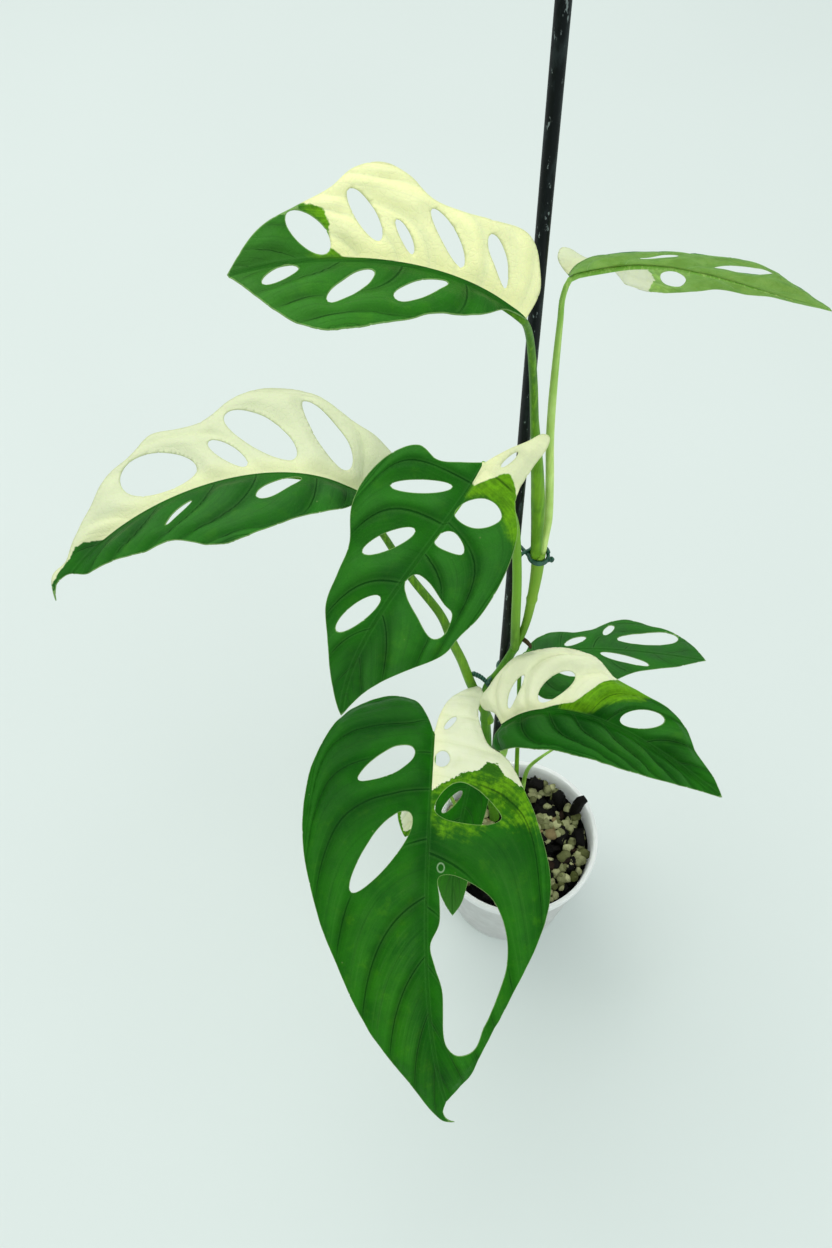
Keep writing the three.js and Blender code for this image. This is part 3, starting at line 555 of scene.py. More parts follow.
def buildLeaf(key, materials):
    blade, look = blades[key], leafLooks[key]
    base, tip = (0, 0), (blade["length"], 0)
    left, right = [smoothLine([base, *blade[half], tip], 1.0) for half in ("left", "right")]
    loops = [[(p.x, -p.y, 0) for p in right] + [(p.x, p.y, 0) for p in left[-2:0:-1]]]
    for hole in blade.get("holes", []):
        loops.append(smoothLine(oval(*hole) if isinstance(hole, tuple) else hole, 1.0, closed=True))
    bm = flatSheet(loops, leafMake["cell"] * (1))
    rimTree = kdtree.KDTree(sum(v.is_boundary for v in bm.verts))
    for i, v in enumerate(v for v in bm.verts if v.is_boundary):
        rimTree.insert(v.co, i)
    rimTree.balance()
    cream, lime, rim, vein, tone, *steady = [bm.verts.layers.float.new(word) for word in leafWords]
    for v in bm.verts:
        x, y = v.co.x, v.co.y
        v[cream] = patchDistance(look.get("cream"), x, y)
        v[lime] = patchDistance(look.get("lime"), x, y)
        v[rim] = rimTree.find(v.co)[2]
        v[vein] = veinPhase(blade, look, x, y)
        v[tone] = along(look.get("tone", (0, 0)), x / blade["length"])
        for layer, word in zip(steady, leafWords[-len(steady):]):
            v[layer] = look.get(word, 0.0)
    flat = bm.loops.layers.uv.new("flat")
    thicken(bm, -1)
    bmesh.ops.recalc_face_normals(bm, faces=bm.faces[:])
    for f in bm.faces:
        f.material_index = 1 if f.normal.z < -0.5 else 0
        for corner in f.loops:
            corner[flat].uv = corner.vert.co.xy / leafMake["sheet"]
    for v in bm.verts:
        x, y = v.co.x, v.co.y
        lesser, (fade, band), (depth, length) = [leafMake[word] for word in ("lesser", "flatRim", "ripple")]
        swell = (1 - lesser) * abs(sin(pi * v[vein])) ** 0.8
        swell += lesser * abs(sin(2 * pi * v[vein]))
        room = ease(abs(y), 0.5, 6) * (1 - fade + fade * ease(v[rim], 0, band))
        rise = leafMake["quilt"] * look.get("fold", 1.0) * swell * room - dipAt(x, y)
        spot, (lower, shorter) = Vector((x / length, y / length, ord(key))), leafMake["fineRipple"]
        rise += depth * (noise.noise(spot) + lower * noise.noise(spot * shorter)) * ease(abs(y), 1, 9)
        rise += leafMake["thickness"] * (v.co.z + 0.5)
        v.co = bladePoint(blade, x, y, rise) * mm
    return finishPiece("blade" + key.upper(), bm, materials, ["leaf_" + key])


def leafMaterial(name, under):
    material, tree, shader, _ = newMaterial(name)
    uv = addNode(tree, "UVMap", {"uv_map": "flat"}, {})
    x, y = [addNode(tree, "SeparateXYZ", {}, {0: uv}, axis) * leafMake["sheet"] for axis in (0, 1)]
    layers = [readLayer(tree, word) for word in leafWords]
    cream, lime, rim, vein, tone, warm, sheenAndDim, ragged, mark, fold = layers
    broad = grain(uv, 5, 3, 0.6)
    patchy = grain(uv, 14, 4, 0.65)
    fine = grain(uv, 60, 3, 0.6)
    reach = y.size()
    offMidrib = reach.smooth(0.3, 3.0)
    alongVeins = addNode(tree, "CombineXYZ", {}, {0: vein * 12, 1: reach * 0.05, 2: mark})
    streaks = grain(alongVeins, 1.0, 4, 0.7)
    fineLines = addNode(tree, "CombineXYZ", {}, {0: vein * 30, 1: reach * 0.08, 2: fold})
    stripes = grain(fineLines, 1.0, 2, 0.6)
    creamMask = (cream + (fine - 0.5) * (streaks * ragged) * offMidrib * 6).smooth(-0.2, 0.25)
    limeEdge = (patchy - 0.5) * 9 + (fine - 0.5) * 6 + (streaks - 0.5) * 14
    limeMask = (lime + limeEdge * ragged * offMidrib).smooth(ragged * -5 - 0.6, ragged * 3 + 0.6)
    limeMask = limeMask * (1 - ragged * (1 - (streaks * 0.4 + patchy * 0.6).smooth(0.42, 0.56)) * 0.6)
    fromVein = (vein.fraction() - 0.5).size()  # 0.5 on a side vein
    lesser = ((vein * 2).fraction() - 0.5).size()
    veinMask = (fromVein.smooth(0.478, 0.494) + lesser.smooth(0.47, 0.49) * 0.3) * rim.smooth(0.4, 4)
    flank = fromVein.smooth(0.42, 0.475) * (1 - fromVein.smooth(0.475, 0.49))
    flank = flank * (1 - reach.smooth(8, 30) * 0.6)
    hollow = fromVein.smooth(0.3, 0.5) * 0.75 + lesser.smooth(0.3, 0.5) * 0.25
    slope = vein.fraction().smooth(0.0, 0.6) * (1 - vein.fraction().smooth(0.75, 1.0))  # one side of a fold, for the painted light and shade across the folds
    # how strongly painted light and shade are laid across the folds, more on deeply folded leaves
    foldLightShade = (fold - 1).smooth(0, 0.7) * reach.smooth(1, 6)
    midrib = 1 - reach.smooth(0.15, 0.6)
    besideRib = reach.smooth(0.4, 0.7) * (1 - reach.smooth(0.7, 1.3))
    margin = 1 - rim.smooth(2, 11)
    limeMask = limeMask * (0.95 - ragged * (1 - patchy.smooth(0.42, 0.62) * 0.8) * 0.55)
    scarX, scarY, squash = leafMake["scar"]
    fromScar = ((x - scarX) * (x - scarX) * squash + (y - scarY) * (y - scarY)).root()
    scar = mark * fromScar.smooth(1.0, 1.4) * (1 - fromScar.smooth(1.5, 1.9))
    pores = addNode(tree, "TexVoronoi", {"feature": "F1"}, {"Vector": uv, "Scale": 9})
    leafGreen = 1 - creamMask
    specks = (1 - pores.smooth(0.02, 0.04)) * leafGreen
    if under:
        green = mixColour(patchy.smooth(0.3, 0.7), (0.165, 0.33, 0.07), (0.25, 0.44, 0.12))
        limeTone, creamTone, dimTone = (0.27, 0.44, 0.12), (0.92, 0.96, 0.76), (0.86, 0.90, 0.64)
        veinTone = ribTone = (0.30, 0.50, 0.18)
    else:
        green = paint(mixColour(broad.smooth(0.3, 0.7), (0.003, 0.066, 0.002), (0.026, 0.180, 0.004)), [
            # painted highlight: the green is lighter on the swells between the side veins
            ((1 - hollow) * 0.3, (0.02, 0.18, 0.006)),
            (streaks.smooth(0.45, 0.7) * 0.4, (0.04, 0.22, 0.012)),
            (stripes.smooth(0.5, 0.68) * 0.3, (0.06, 0.21, 0.03)),
            (patchy.smooth(0.52, 0.75) * 0.5, (0.07, 0.27, 0.005)),
            (fine.smooth(0.58, 0.8) * 0.2, (0.10, 0.27, 0.03)),
            # painted shade: the green is darker in the hollows along the side veins
            (hollow * 0.5, (0.003, 0.055, 0.002)),
            ((1 - reach.smooth(0.8, 11)) * 0.6, (0.002, 0.05, 0.004)),
            # painted sheen: a greyish haze laid over the green
            (sheenAndDim * 0.4, (0.05, 0.115, 0.05)),
            (tone.smooth(0, 1) * 0.75, (0.002, 0.055, 0.003)),
            (margin * (broad.smooth(0.35, 0.65) * 0.3 + 0.2), (0.012, 0.16, 0.001)),
            # painted sheen: where tone falls below 0 the green is lightened
            ((tone * -1).smooth(0, 1) * 0.7, (0.09, 0.25, 0.045))])
        limeTone, creamTone, dimTone = (0.11, 0.28, 0.006), (0.80, 0.83, 0.66), (0.60, 0.65, 0.44)
        veinTone, ribTone = (0.002, 0.035, 0.003), (0.015, 0.11, 0.008)
    mottle = (streaks * 0.6 + fine * 0.4).smooth(0.4, 0.6)
    limeFill = mixColour(mottle, limeTone, [1.45 * c for c in limeTone])
    creamFill = paint(mixColour(warm, creamTone, (0.97, 0.97, 0.48)), [
        (patchy.smooth(0.45, 0.75) * 0.35, (0.74, 0.80, 0.44)),
        (streaks.smooth(0.5, 0.72) * 0.35, (0.72, 0.76, 0.48)),
        (fine.smooth(0.6, 0.75) * 0.2, (0.60, 0.70, 0.34)),
        (sheenAndDim, dimTone)])
    colour = paint(green, [
        # painted light on one side of each fold and painted shade on the other
        (slope * foldLightShade * 0.4, (0.035, 0.16, 0.025)),
        ((1 - slope) * foldLightShade * 0.45, (0.002, 0.048, 0.003)),
        (flank * 0.12, (0.10, 0.28, 0.06)),
        (limeMask, limeFill),
        (creamMask, creamFill),
        (veinMask * leafGreen * 0.45, veinTone),
        # painted shade on the cream: darker in the hollows and on one side of each fold
        (hollow * creamMask * 0.4, (0.68, 0.73, 0.46)),
        (slope * foldLightShade * creamMask * 0.5, (0.62, 0.66, 0.44)),
        ((1 - rim.smooth(0.1, 0.6)) * creamMask * 0.25, (0.45, 0.52, 0.2)),
        ((1 - reach.smooth(1, 8)) * creamMask * 0.35, (0.86, 0.86, 0.42)),
        (veinMask * creamMask * 0.12, (0.60, 0.66, 0.36)),
        (midrib * leafGreen * 0.6, ribTone),
        (midrib * creamMask * 0.3, (0.55, 0.66, 0.30)),
        (besideRib * leafGreen * 0.2, (0.06, 0.22, 0.04)),
        # painted light: a pale line along the green blade's edge, standing in for light through the thin edge
        ((1 - rim.smooth(0.05, 0.35)) * (leafGreen * 0.35 + 0.03), (0.45, 0.68, 0.24)),
        (scar * 0.6, (0.35, 0.5, 0.3)),
        (specks * 0.5, (0.16, 0.24, 0.08))])
    cells = addNode(tree, "TexVoronoi", {"feature": "DISTANCE_TO_EDGE"}, {"Vector": uv, "Scale": 55})
    height = cells.smooth(0, 0.12) * 0.2 + fine * 0.25 + streaks * 0.5 - hollow * 0.6
    height = height - (veinMask * 0.8 + midrib * 0.6) * (0.1 + leafGreen * 0.9)
    rough, glow = (0.5, (0.5, (1.0, 1.0, 0.6), 0.002)) if under else (0.34, (0.06, (0.6, 1.0, 0.3), 0.001))
    finishMaterial(tree, shader, colour, rough + patchy * 0.16, 0.05, (height, 0.0005, 0.5), glow)
    return material


leafFaces = [leafMaterial("leafTop", False), leafMaterial("leafUnderside", True)]
for key in blades:
    buildLeaf(key, leafFaces)
    print("leaf", key, "built")


# Rods: a ring swept along a line; stems, stalks, roots, wire and the stake are made this way
def sweepRod(bm, line, widths, sides):
    run = bm.verts.layers.float.get("run") or bm.verts.layers.float.new("run")
    places, side = [], Vector((1, 0.01, 0.02))
    for i, p in enumerate(line):
        ahead = (line[min(i + 1, len(line) - 1)] - line[max(i - 1, 0)]).normalized()
        side = (side - ahead * side.dot(ahead)).normalized()
        turn = Matrix((side, ahead.cross(side), ahead)).transposed().to_4x4()
        places.append(Matrix.Translation(p * mm) @ turn)
    made = bmesh.ops.create_circle(bm, cap_ends=True, segments=sides, radius=widths[0] / 2 * mm,
                                   matrix=places[0])
    ring = list({e for v in made["verts"] for e in v.link_edges})
    length = 0.0
    for v in made["verts"]:
        v[run] = 0.0
    for i in range(1, len(line)):
        length += (line[i] - line[i - 1]).length
        grown = bmesh.ops.extrude_edge_only(bm, edges=ring)["geom"]
        tips = [g for g in grown if isinstance(g, bmesh.types.BMVert)]
        fresh = set(tips)
        ring = [g for g in grown if isinstance(g, bmesh.types.BMEdge) and set(g.verts) <= fresh]
        step = places[i] @ Matrix.Scale(widths[i] / widths[i - 1], 4) @ places[i - 1].inverted()
        bmesh.ops.transform(bm, matrix=step, verts=tips)
        for v in tips:
            v[run] = length
    bmesh.ops.contextual_create(bm, geom=ring)
    bmesh.ops.recalc_face_normals(bm, faces=bm.faces[:])


def spreadWidths(points, widths):  # a width for each point, from widths at even stations
    lengths = runLengths(points)
    return [along(widths, length / lengths[-1]) for length in lengths]


def rodLine(points, widths, step):  # widths has one value for each point
    line = smoothLine(points, step)
    lengths = runLengths(points)
    spans = []
    for i in range(len(line)):
        aim = lengths[-1] * i / (len(line) - 1)
        j = max(k for k in range(len(lengths) - 1) if lengths[k] <= aim)
        share = (aim - lengths[j]) / (lengths[j + 1] - lengths[j])
        spans.append(widths[j] + (widths[j + 1] - widths[j]) * share)
    return line, spans


def buildRod(name, points, widths, material, nodes, sides=14, step=3.0):
    bm = bmesh.new()
    line, spans = rodLine(points, widths, step)
    sweepRod(bm, line, spans, sides)
    return finishPiece(name, bm, [material], nodes)


def stalkMaterial(name, dark, light, rough, young, stretch):
    material, tree, shader, place = newMaterial(name)
    run = readLayer(tree, "run")
    streaks = grain(place, 900, 3, 0.6, (1, 1, 0.03))
    clouds = grain(place, 60, 3, 0.6)
    specks = grain(place, 1400, 2, 0.5)
    colour = paint(mixColour(clouds.smooth(0.3, 0.7), dark, light), [
        (run.smooth(*stretch) * 0.7, young),
        (streaks.smooth(0.45, 0.75) * 0.45, [min(1, 1.5 * c) for c in light]),
        (specks.smooth(0.66, 0.76) * 0.2, (0.5, 0.6, 0.3))])
    finishMaterial(tree, shader, colour, rough + clouds * 0.12, 0.12,
                   (streaks * 0.7 + specks * 0.3, 0.0002, 0.4), (0.1, (0.5, 1.0, 0.2), 0.0015))
    return material


stalkTones = {  # dark, light, roughness, the tone of the young part and where along the run it sets in
    "stemGreen": ((0.045, 0.18, 0.006), (0.09, 0.26, 0.015), 0.42, (0.30, 0.52, 0.055), (222, 268)),
    "stalkGreen": ((0.08, 0.235, 0.006), (0.165, 0.37, 0.014), 0.42, (0.04, 0.15, 0.004), (60, 130)),
    "duskyStalk": ((0.065, 0.19, 0.012), (0.13, 0.31, 0.025), 0.42, (0.21, 0.46, 0.035), (5, 40)),
    "brightStalk": ((0.40, 0.62, 0.12), (0.58, 0.80, 0.24), 0.42, (0.10, 0.35, 0.02), (60, 170)),
    "paleStalk": ((0.19, 0.39, 0.04), (0.33, 0.57, 0.12), 0.42, (0.20, 0.42, 0.06), (60, 170)),
    "rootSkin": ((0.022, 0.015, 0.006), (0.07, 0.05, 0.022), 0.8, (0.07, 0.23, 0.012), (60, 170)),
}
skins = {name: stalkMaterial(name, *tones) for name, tones in stalkTones.items()}

# Main stem: from the mix to the fork and on to the upper tie, with swollen rings at its joints
stem = {
    "route": [(-10, 13, 40), (-11, 13, 72), (-16, 13, 120), (-20, 13, 175), (-22, 14, 226), (-17, 14.5, 241),
              (-11.5, 15, 262), (-8, 16, 279), (-6.5, 17, 299), (-5.8, 18, 317), (-6, 18, 333)],
    "widths": [5.5, 5.6, 5.4, 5.2, 5.2, 5, 4.8, 4.4, 4.2, 3.6, 3.4, 4.6, 5.6],
    "joints": (96, 128, 163, 196, 232, 262, 300),
    "swell": (0.7, 1.6),  # how much wider it is at a joint, and how far up and down
    "sides": 18, "step": 1.5,
}
line, spans = rodLine(stem["route"], spreadWidths(stem["route"], stem["widths"]), stem["step"])
wider, reach = stem["swell"]
spans = [width + wider * sum(exp(-((p.z - z) / reach) ** 2) for z in stem["joints"])
         for p, width in zip(line, spans)]
bm = bmesh.new()
sweepRod(bm, line, spans, stem["sides"])
finishPiece("mainStem", bm, [skins["stemGreen"]], ["vine_stem"])

# Stalks, a route and widths at even stations: each runs on under its blade, thinning to the tip
stalks = {
    "a": ([(-7.4, 17.1, 332.4), (-7.8, 16.5, 345), (-9.5, 15, 373), (-11.5, 13, 395), (-15.2, 8, 429),
           (-17.7, 3, 455), (-21.1, -5, 483), (-23.5, -11, 496)], [4, 5.6, 5.2, 3.2, 2.8, 2.7, 2.2]),
    "b": ([(-4.5, 18.9, 332.4), (-4.2, 19.3, 345), (-4, 19.5, 355), (-5.5, 19.5, 380), (-7.4, 19.5, 404),
           (-8.3, 20, 425), (-8.8, 20, 445), (-9.1, 20, 464), (-9.2, 20, 475)],
          [3, 3.4, 3.2, 3, 2.8, 2.3, 1.8]),
    "c": ([(-19.5, 13, 194), (-24, 14.5, 209), (-29.3, 15.5, 227), (-34.5, 13, 254), (-39.5, 10, 277),
           (-44.5, 7, 303), (-57.3, 3, 340), (-67, -2, 376), (-73, -4, 394)],
          [4.6, 4.6, 4.2, 3.8, 3.4, 2.8, 2.4]),
    "d": ([(-11.3, 15, 262), (-12.6, 13.5, 288), (-14.1, 12.5, 321), (-16, 12.5, 347), (-18.5, 9, 369),
           (-25.5, 0, 400), (-31, -5.5, 419)], [4, 4, 3.8, 3.6, 3, 2.4]),
    "e": ([(-19, 13, 160), (-26, 9, 185), (-36, -2, 212), (-44, -13, 233)], [4.2, 4, 3.6, 3]),
    "f": ([(-15.5, 13, 125), (-13, 7, 160), (-13, -4, 200), (-16, -12, 232)], [4, 3.8, 3.4, 2.6]),
    "g": ([(2, 25, 52), (1, 26, 80), (-0.8, 28, 117), (-2.5, 32, 160), (-4.5, 34.5, 212)],
          [2.6, 2.4, 2.2, 2]),
    "h": ([(-20, 27, 52), (-21, 27, 90), (-23, 24, 130), (-24, 20, 145)], [2.6, 2.4, 2.2, 2]),
    "i": ([(-31, 18, 52), (-33, 19, 76), (-39, 20, 100), (-43, 20, 118)], [2.2, 2, 1.8, 1.6]),
}
midribStops = {"near": [0.5, 4],  # mm from the blade's base; the others are parts of its length
               "parts": [0.12, 0.25, 0.4, 0.55, 0.7, 0.8, 0.88]}
stalkSkins = {"b": "brightStalk", "d": "duskyStalk", "e": "paleStalk", "f": "paleStalk", "i": "paleStalk"}
for key, (route, widths) in stalks.items():
    blade, route, widths = blades[key], list(route), spreadWidths(route, widths)
    last = widths[-1]
    for x in midribStops["near"] + [blade["length"] * part for part in midribStops["parts"]]:
        width = last * (1 - x / blade["length"])
        route.append(bladePoint(blade, x, 0, -dipAt(x, 0) - width / 2))
        widths.append(width)
    skin = skins[stalkSkins.get(key, "stalkGreen")]
    buildRod("stalk" + key.upper(), route, widths, skin, ["stalk_" + key])
sprout = {"route": [(5, 27, 52), (4.6, 27, 85), (5.2, 28, 100), (7, 28, 110), (11.5, 28, 120), (17, 29, 127),
                    (26, 31, 134)], "widths": [2.6, 2.5, 2.3, 2.1, 1.7, 1.3, 0.5]}
buildRod("youngSprout", sprout["route"], sprout["widths"], skins["paleStalk"], ["sprout"], 10, 2)
print("stems built")

# Short dried root beside the upper joint
root = {"route": [(-9, 16, 269), (-6.9, 13.7, 270), (-5.2, 13.2, 267.5), (-4.6, 13.8, 264)],
        "widths": [2.1, 2.1, 1.8, 1.0]}
buildRod("driedRoot", root["route"], root["widths"], skins["rootSkin"], ["aerial_root"], 10, 0.8)

# Stake: a round black rod with dust on it
stake = {"foot": (-12.2, 20.6, 8), "top": (-18.9, 18.7, 603), "width": 4.4, "sides": 28, "steps": 60,
         "edge": (0.0008, 0.8)}  # the rounded top: its share of the length, and how much narrower
stakeSkin, tree, shader, place = newMaterial("dustyStake")
dust = grain(place, 260, 5, 0.7, (1, 1, 0.25))
specks = grain(place, 800, 3, 0.6, (1, 1, 0.35))
scuffs = grain(place, 90, 3, 0.6, (1, 1, 0.25)).smooth(0.5, 0.68)
colour = paint((0.0015, 0.0035, 0.004), [
    (dust.smooth(0.48, 0.7) * (scuffs * 0.8 + 0.15), (0.10, 0.14, 0.14)),
    (specks.smooth(0.63, 0.7) * 0.7, (0.25, 0.30, 0.29))])
finishMaterial(tree, shader, colour, 0.35 + dust * 0.3, 0.12, (dust + specks * 0.5, 0.0002, 0.35))
foot, top = Vector(stake["foot"]), Vector(stake["top"])
steps, (edge, narrower) = stake["steps"], stake["edge"]
line = [foot.lerp(top, k / steps) for k in range(steps)] + [top - (top - foot) * edge, top]
bm = bmesh.new()
sweepRod(bm, line, [stake["width"]] * (steps + 1) + [stake["width"] - narrower], stake["sides"])
finishPiece("stakeRod", bm, [stakeSkin], ["stake"])

# Ties: coated wire, its ends twisted together. The upper one goes twice round the stalks and
# crosses over to hold the stake; the lower one is a belt round the stake and the stem.
ties = {
    "upper": {"turns": [((-6, 18, 2.8), -15, -525), ((-15.5, 19.7, 2.3), 60, 330), ((-6, 18, 2.8), 150, 0)],
              "level": 332, "tail": [(-0.2, -0.2, 0), (0.8, -0.5, 0.3), (1.9, -0.9, 0.6)]},
    "lower": {"turns": [((-18.6, 14.3, 3.3), 225, 405), ((-14.1, 20, 2.3), 45, 225),
                        ((-18.6, 14.3, 3.3), 215, 230)],
              "level": 236, "tail": [(-0.6, -0.4, 0), (-1.6, 1, 0.6), (-4, 3, 1.2), (-7.6, 4.4, 2)]},
}
tieLook = {"wire": 1.5, "gap": 0.3, "turnStep": 14, "twist": 2.6,
           "pitch": (1.5, 520),  # mm climbed in so many degrees
           "strand": (0.9, 0.42)}  # an end's thickness and swing in the twist, to the wire's own
tieSkin, tree, shader, place = newMaterial("coatedWire")
worn = grain(place, 420, 3, 0.6)
colour = mixColour(worn.smooth(0.35, 0.7), (0.004, 0.055, 0.03), (0.02, 0.12, 0.075))
finishMaterial(tree, shader, colour, 0.32 + worn * 0.2, 0.5, (worn, 0.0001, 0.3))
for name, tie in ties.items():
    belt, total = [], sum(abs(end - start) for rod, start, end in tie["turns"])
    turned, (pitch, pitchTurn) = 0, tieLook["pitch"]
    for (x, y, radius), start, end in tie["turns"]:
        away = radius + tieLook["gap"] + tieLook["wire"] / 2
        steps = max(2, round(abs(end - start) / tieLook["turnStep"]))
        for k in range(steps + 1):
            angle = radians(start + (end - start) * k / steps)
            climb = ((turned + abs(end - start) * k / steps) / total - 0.5) * pitch * total / pitchTurn
            spot = (x + away * cos(angle), y + away * sin(angle), tie["level"] + climb)
            belt.append(Vector(spot))
        turned += abs(end - start)
    bm = bmesh.new()
    line = smoothLine(belt, 0.8)
    sweepRod(bm, line, [tieLook["wire"]] * len(line), 10)
    coreStep, (thinner, swing) = 0.25, tieLook["strand"]
    core = smoothLine([belt[0] + Vector(p) for p in tie["tail"]], coreStep)
    for strand in (0, pi):
        twisted = []
        for k, p in enumerate(core):
            angle = strand + 2 * pi * k * coreStep / tieLook["twist"]
            twisted.append(p + Vector((0.2, cos(angle), sin(angle))) * tieLook["wire"] * swing)
        line = smoothLine(twisted, 0.5)
        sweepRod(bm, line, [tieLook["wire"] * thinner] * len(line), 8)
    finishPiece(name + "Tie", bm, [tieSkin], ["tie_" + name])
print("stake and ties built")

# Pot: a thin translucent cup with a flat rim band; its floor has round drain holes
pot = {"height": 80, "base": 33.5, "rim": 45, "wall": 1.3, "band": 5, "step": 1.2, "floor": 1.6,
       "edge": 4,  # how far in from the base the wall's profile ends and the floor begins
       "drain": 4, "drainCircle": 19, "drains": 4, "steps": 128}


def wallAt(z):
    return pot["base"] + (pot["rim"] - pot["step"] - pot["base"]) * z / pot["height"]


def spinProfile(points, closed, steps):  # points are radius and height
    bm = bmesh.new()
    ring = [bm.verts.new((r * mm, 0, z * mm)) for r, z in points]
    edges = [bm.edges.new((a, b)) for a, b in zip(ring, ring[1:] + ring[:1] * closed)]
    bmesh.ops.spin(bm, geom=ring + edges, cent=(0, 0, 0), axis=(0, 0, 1), dvec=(0, 0, 0), angle=2 * pi,
                   steps=steps, use_merge=True, use_duplicate=False)
    return bm


def ringPoints(radius, count, x=0.0, y=0.0, offset=0.0):
    turns = [2 * pi * (k + offset) / count for k in range(count)]
    return [Vector((x + radius * cos(turn), y + radius * sin(turn), 0)) for turn in turns]


base, rim, wall, lip = pot["base"], pot["rim"], pot["wall"], pot["height"]
bandFoot = lip - pot["band"]
profile = [(base - pot["edge"], 0), (base - 1.2, 0), (base - 0.5, 0.15)]
profile += [(wallAt(z), z) for z in (0.6, 1.4, 10, 20, 30, 40, 50, 60, 70, bandFoot - 0.6)]
profile += [(wallAt(bandFoot) + 0.15, bandFoot - 0.15)]
profile += [(rim - 0.6, bandFoot), (rim - 0.2, bandFoot + 0.35), (rim - 0.1, bandFoot + 1), (rim, lip - 0.9)]
profile += [(rim - 0.12, lip - 0.35), (rim - 0.5, lip), (wallAt(lip) - wall + 0.4, lip)]
profile += [(wallAt(z) - wall, z) for z in (lip - 0.3, 76, 70, 60, 45, 30, 15, 3, pot["floor"])]
profile += [(base - pot["edge"], pot["floor"])]
bm = spinProfile(profile, True, pot["steps"])
loops = [ringPoints(base - pot["edge"] + 0.2, 96)]
for x, y, _ in ringPoints(pot["drainCircle"], pot["drains"], offset=0.5):
    loops.append(ringPoints(pot["drain"], 28, x, y))
disc = flatSheet(loops, 4.0)
thicken(disc, pot["floor"])
bmesh.ops.scale(disc, verts=disc.verts[:], vec=(mm, mm, mm))
floorPlate = bpy.data.meshes.new("potFloor")
disc.to_mesh(floorPlate)
disc.free()
bm.from_mesh(floorPlate)
bpy.data.meshes.remove(floorPlate)
bmesh.ops.recalc_face_normals(bm, faces=bm.faces[:])
potSkin, tree, shader, place = newMaterial("milkyPlastic")
haze = grain(place, 14, 3, 0.5)
scratch = grain(place, 500, 3, 0.6, (1, 1, 0.1))
smudge = grain(place, 70, 4, 0.6)
depth = addNode(tree, "SeparateXYZ", {}, {0: place}, 2)
# painted shade: the wall is darkened, with mottling, below the mix's level, standing in for the dark mix seen
# through the translucent plastic
mixShadeThroughWall = (1 - (depth + (haze - 0.5) * 0.006).smooth(0.062, 0.074)) * depth.smooth(0.0, 0.004)
lumps = grain(place, 130, 3, 0.6)
colour = paint(mixColour(haze.smooth(0.3, 0.7), (0.90, 0.92, 0.91), (0.97, 0.98, 0.975)), [
    (mixShadeThroughWall * (lumps * 0.5 + 0.2), (0.40, 0.40, 0.37)),
    (smudge.smooth(0.58, 0.8) * 0.25, (0.60, 0.62, 0.57))])
finishMaterial(tree, shader, colour, 0.4 + scratch * 0.2, 0.3, (scratch * 0.5 + haze, 0.0002, 0.3),
               (0.6, (1.0, 1.0, 1.0), 0.004), {"Transmission Weight": 0.2, "IOR": 1.2})
potShell = finishPiece("potShell", bm, [potSkin], ["pot"])
for polygon in potShell.data.polygons:
    polygon.use_smooth = abs(polygon.normal.z) < 0.98
print("pot built")

# Potting mix: a packed bed, and on it loose bark chips and porous granules
mix = {"seed": 11, "level": 71, "chips": 170, "granules": 640,
       "gap": 0.35,  # between the bed and the pot's wall
       "bed": [(30, 68.5), (15, 69), (0, 69)],  # its top, from the wall's inside to the middle
       "chipSize": ((4.5, 10), (3, 6), (2, 4)), "chipLean": (0.6, 0.5), "chipLift": (-1.5, 1.5),
       "grainSize": (3.0, 6.6), "grainSquash": ((0.75, 1), (0.7, 0.95)), "grainLift": (-0.6, 2.6),
       "room": (4.5, 2.2),  # how far chips and granules stay from the wall
       "clump": (13, -0.04, 0.9),  # size of the bare spots, how many they are and how bare
       "standing": [((4.5, 4.5, 28), (34.5, 16, 81.5), (5, 6)), ((6, 7, 13), (25, 23, 73), (-12, 10)),
                    ((6, 7, 14), (12, 32, 73), (15, 5)), ((5, 9, 12), (35, 0, 71), (-12, 5))]}
draw = random.Random(mix["seed"])
noise.seed_set(mix["seed"])  # noise_vector, which rumples the chips, is shifted by this


def innerAt(z):
    return wallAt(z) - pot["wall"] - mix["gap"]


bm = spinProfile([(0, 2)] + [(innerAt(z), z) for z in (2, 20, 40, 60, 67.5)] + mix["bed"], False, 64)
bmesh.ops.remove_doubles(bm, verts=bm.verts[:], dist=1e-6)
bmesh.ops.recalc_face_normals(bm, faces=bm.faces[:])


def mixMaterial(name, dark, light, odd, rough, size):
    material, tree, shader, place = newMaterial(name)
    tint = readLayer(tree, "tint")
    coarse = grain(place, 1 / (size * mm) * 0.4, 4, 0.65)
    fibre = grain(place, 1 / (size * mm) * 2.0, 4, 0.7, (1, 1, 0.35))
    colour = paint(mixColour(tint, dark, light), [
        (tint.smooth(0.93, 0.95), odd),
        (coarse.smooth(0.45, 0.75) * 0.5, [0.45 * c for c in dark]),
        (fibre.smooth(0.6, 0.8) * 0.35, [min(1, 1.7 * c) for c in light])])
    finishMaterial(tree, shader, colour, rough + fibre * 0.1, 0.12, (fibre + coarse, size * mm * 0.12, 0.7))
    return material


barkTones = (0.001, 0.001, 0.001), (0.006, 0.005, 0.004), (0.025, 0.013, 0.008)
granuleTones = (0.07, 0.08, 0.02), (0.48, 0.49, 0.26), (0.22, 0.17, 0.08)
barkSkin = mixMaterial("blackBark", *barkTones, 0.7, 5)
granuleSkin = mixMaterial("porousGranule", *granuleTones, 0.85, 3)
finishPiece("mixBed", bm, [barkSkin], ["potting_mix"])


def rumple(verts, amount, size, seed):
    for v in verts:
        v.co += noise.noise_vector(v.co / (size * mm) + Vector((seed, 0, 0))) * amount * mm


def scatterOne(i, count, room):
    r = room * sqrt((i + 0.5) / count)
    angle = i * pi * (3 - sqrt(5)) + draw.random() * 0.7
    return r * cos(angle), r * sin(angle)


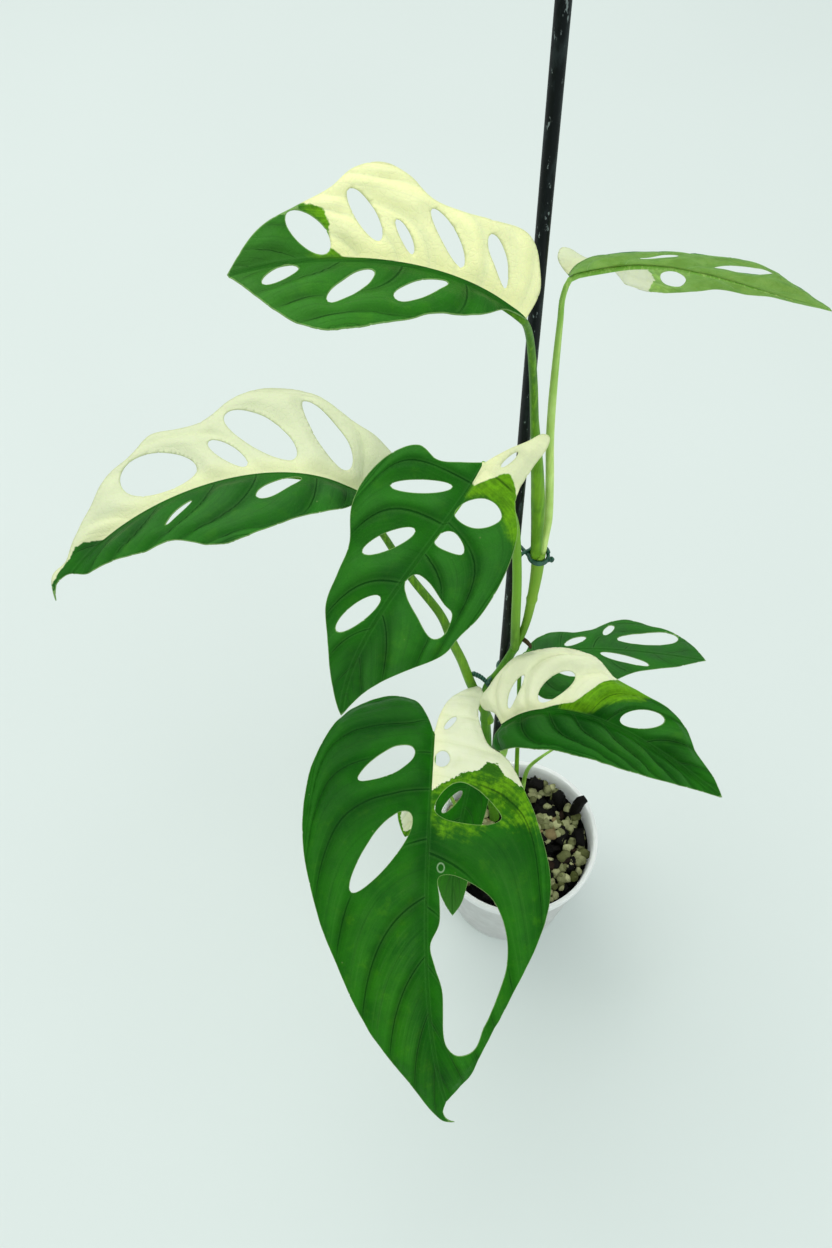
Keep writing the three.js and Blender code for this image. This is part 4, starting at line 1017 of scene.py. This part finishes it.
def addChip(bm, size, place, turn):
    spot = Matrix.Translation(Vector(place) * mm) @ turn @ Matrix.Diagonal((*[k * mm for k in size], 1))
    chip = bmesh.new()
    tint = chip.verts.layers.float.new("tint")
    bmesh.ops.create_cube(chip, size=1.0, matrix=spot)
    bmesh.ops.subdivide_edges(chip, edges=chip.edges[:], cuts=2, use_grid_fill=True)
    shade = draw.random()
    for v in chip.verts:
        v[tint] = shade
    bmesh.ops.smooth_vert(chip, verts=chip.verts[:], factor=0.4, use_axis_x=True, use_axis_y=True,
                          use_axis_z=True)
    rumple(chip.verts, min(size) * 0.28, max(size) * 0.35, shade * 90)
    chip.to_mesh(chipMesh)
    chip.free()
    bm.from_mesh(chipMesh)


chipMesh = bpy.data.meshes.new("oneChip")
bm = bmesh.new()
for i in range(mix["chips"]):
    size = [draw.uniform(*span) for span in mix["chipSize"]]
    x, y = scatterOne(i, mix["chips"], innerAt(70) - mix["room"][0])
    turn = Matrix.Rotation(draw.uniform(0, 6.28), 4, "Z")
    for lean, axis in zip(mix["chipLean"], "XY"):
        turn = turn @ Matrix.Rotation(draw.uniform(-lean, lean), 4, axis)
    addChip(bm, size, (x, y, mix["level"] + draw.uniform(*mix["chipLift"])), turn)
for size, spot, (lean, outward) in mix["standing"]:
    turn = Matrix.Rotation(atan2(spot[1], spot[0]), 4, "Z")
    turn = turn @ Matrix.Rotation(radians(outward), 4, "Y")
    addChip(bm, size, spot, turn @ Matrix.Rotation(radians(lean), 4, "X"))
bmesh.ops.recalc_face_normals(bm, faces=bm.faces[:])
finishPiece("barkChips", bm, [barkSkin])
bpy.data.meshes.remove(chipMesh)
bm = bmesh.new()
tint = bm.verts.layers.float.new("tint")
clumpSize, clumpStart, bare = mix["clump"]
for i in range(mix["granules"]):
    x, y = scatterOne(i + 0.37, mix["granules"], innerAt(70) - mix["room"][1])
    clump = noise.noise(Vector((x / clumpSize, y / clumpSize, mix["seed"])))
    size = draw.uniform(*mix["grainSize"])
    if clump < clumpStart and draw.random() < bare:
        continue
    squash = [draw.uniform(*span) for span in mix["grainSquash"]]
    squash = Matrix.Diagonal([size * k * mm for k in (1, *squash)] + [1])
    spot = Matrix.Translation(Vector((x, y, mix["level"] + draw.uniform(*mix["grainLift"]))) * mm)
    turn = Matrix.Rotation(draw.uniform(0, 6), 4, "Z")
    made = bmesh.ops.create_icosphere(bm, subdivisions=2, radius=0.5, matrix=spot @ turn @ squash)["verts"]
    shade = draw.random()
    for v in made:
        v[tint] = shade
    rumple(made, size * 0.2, size * 0.5, shade * 70)
finishPiece("granules", bm, [granuleSkin])
print("potting mix built")
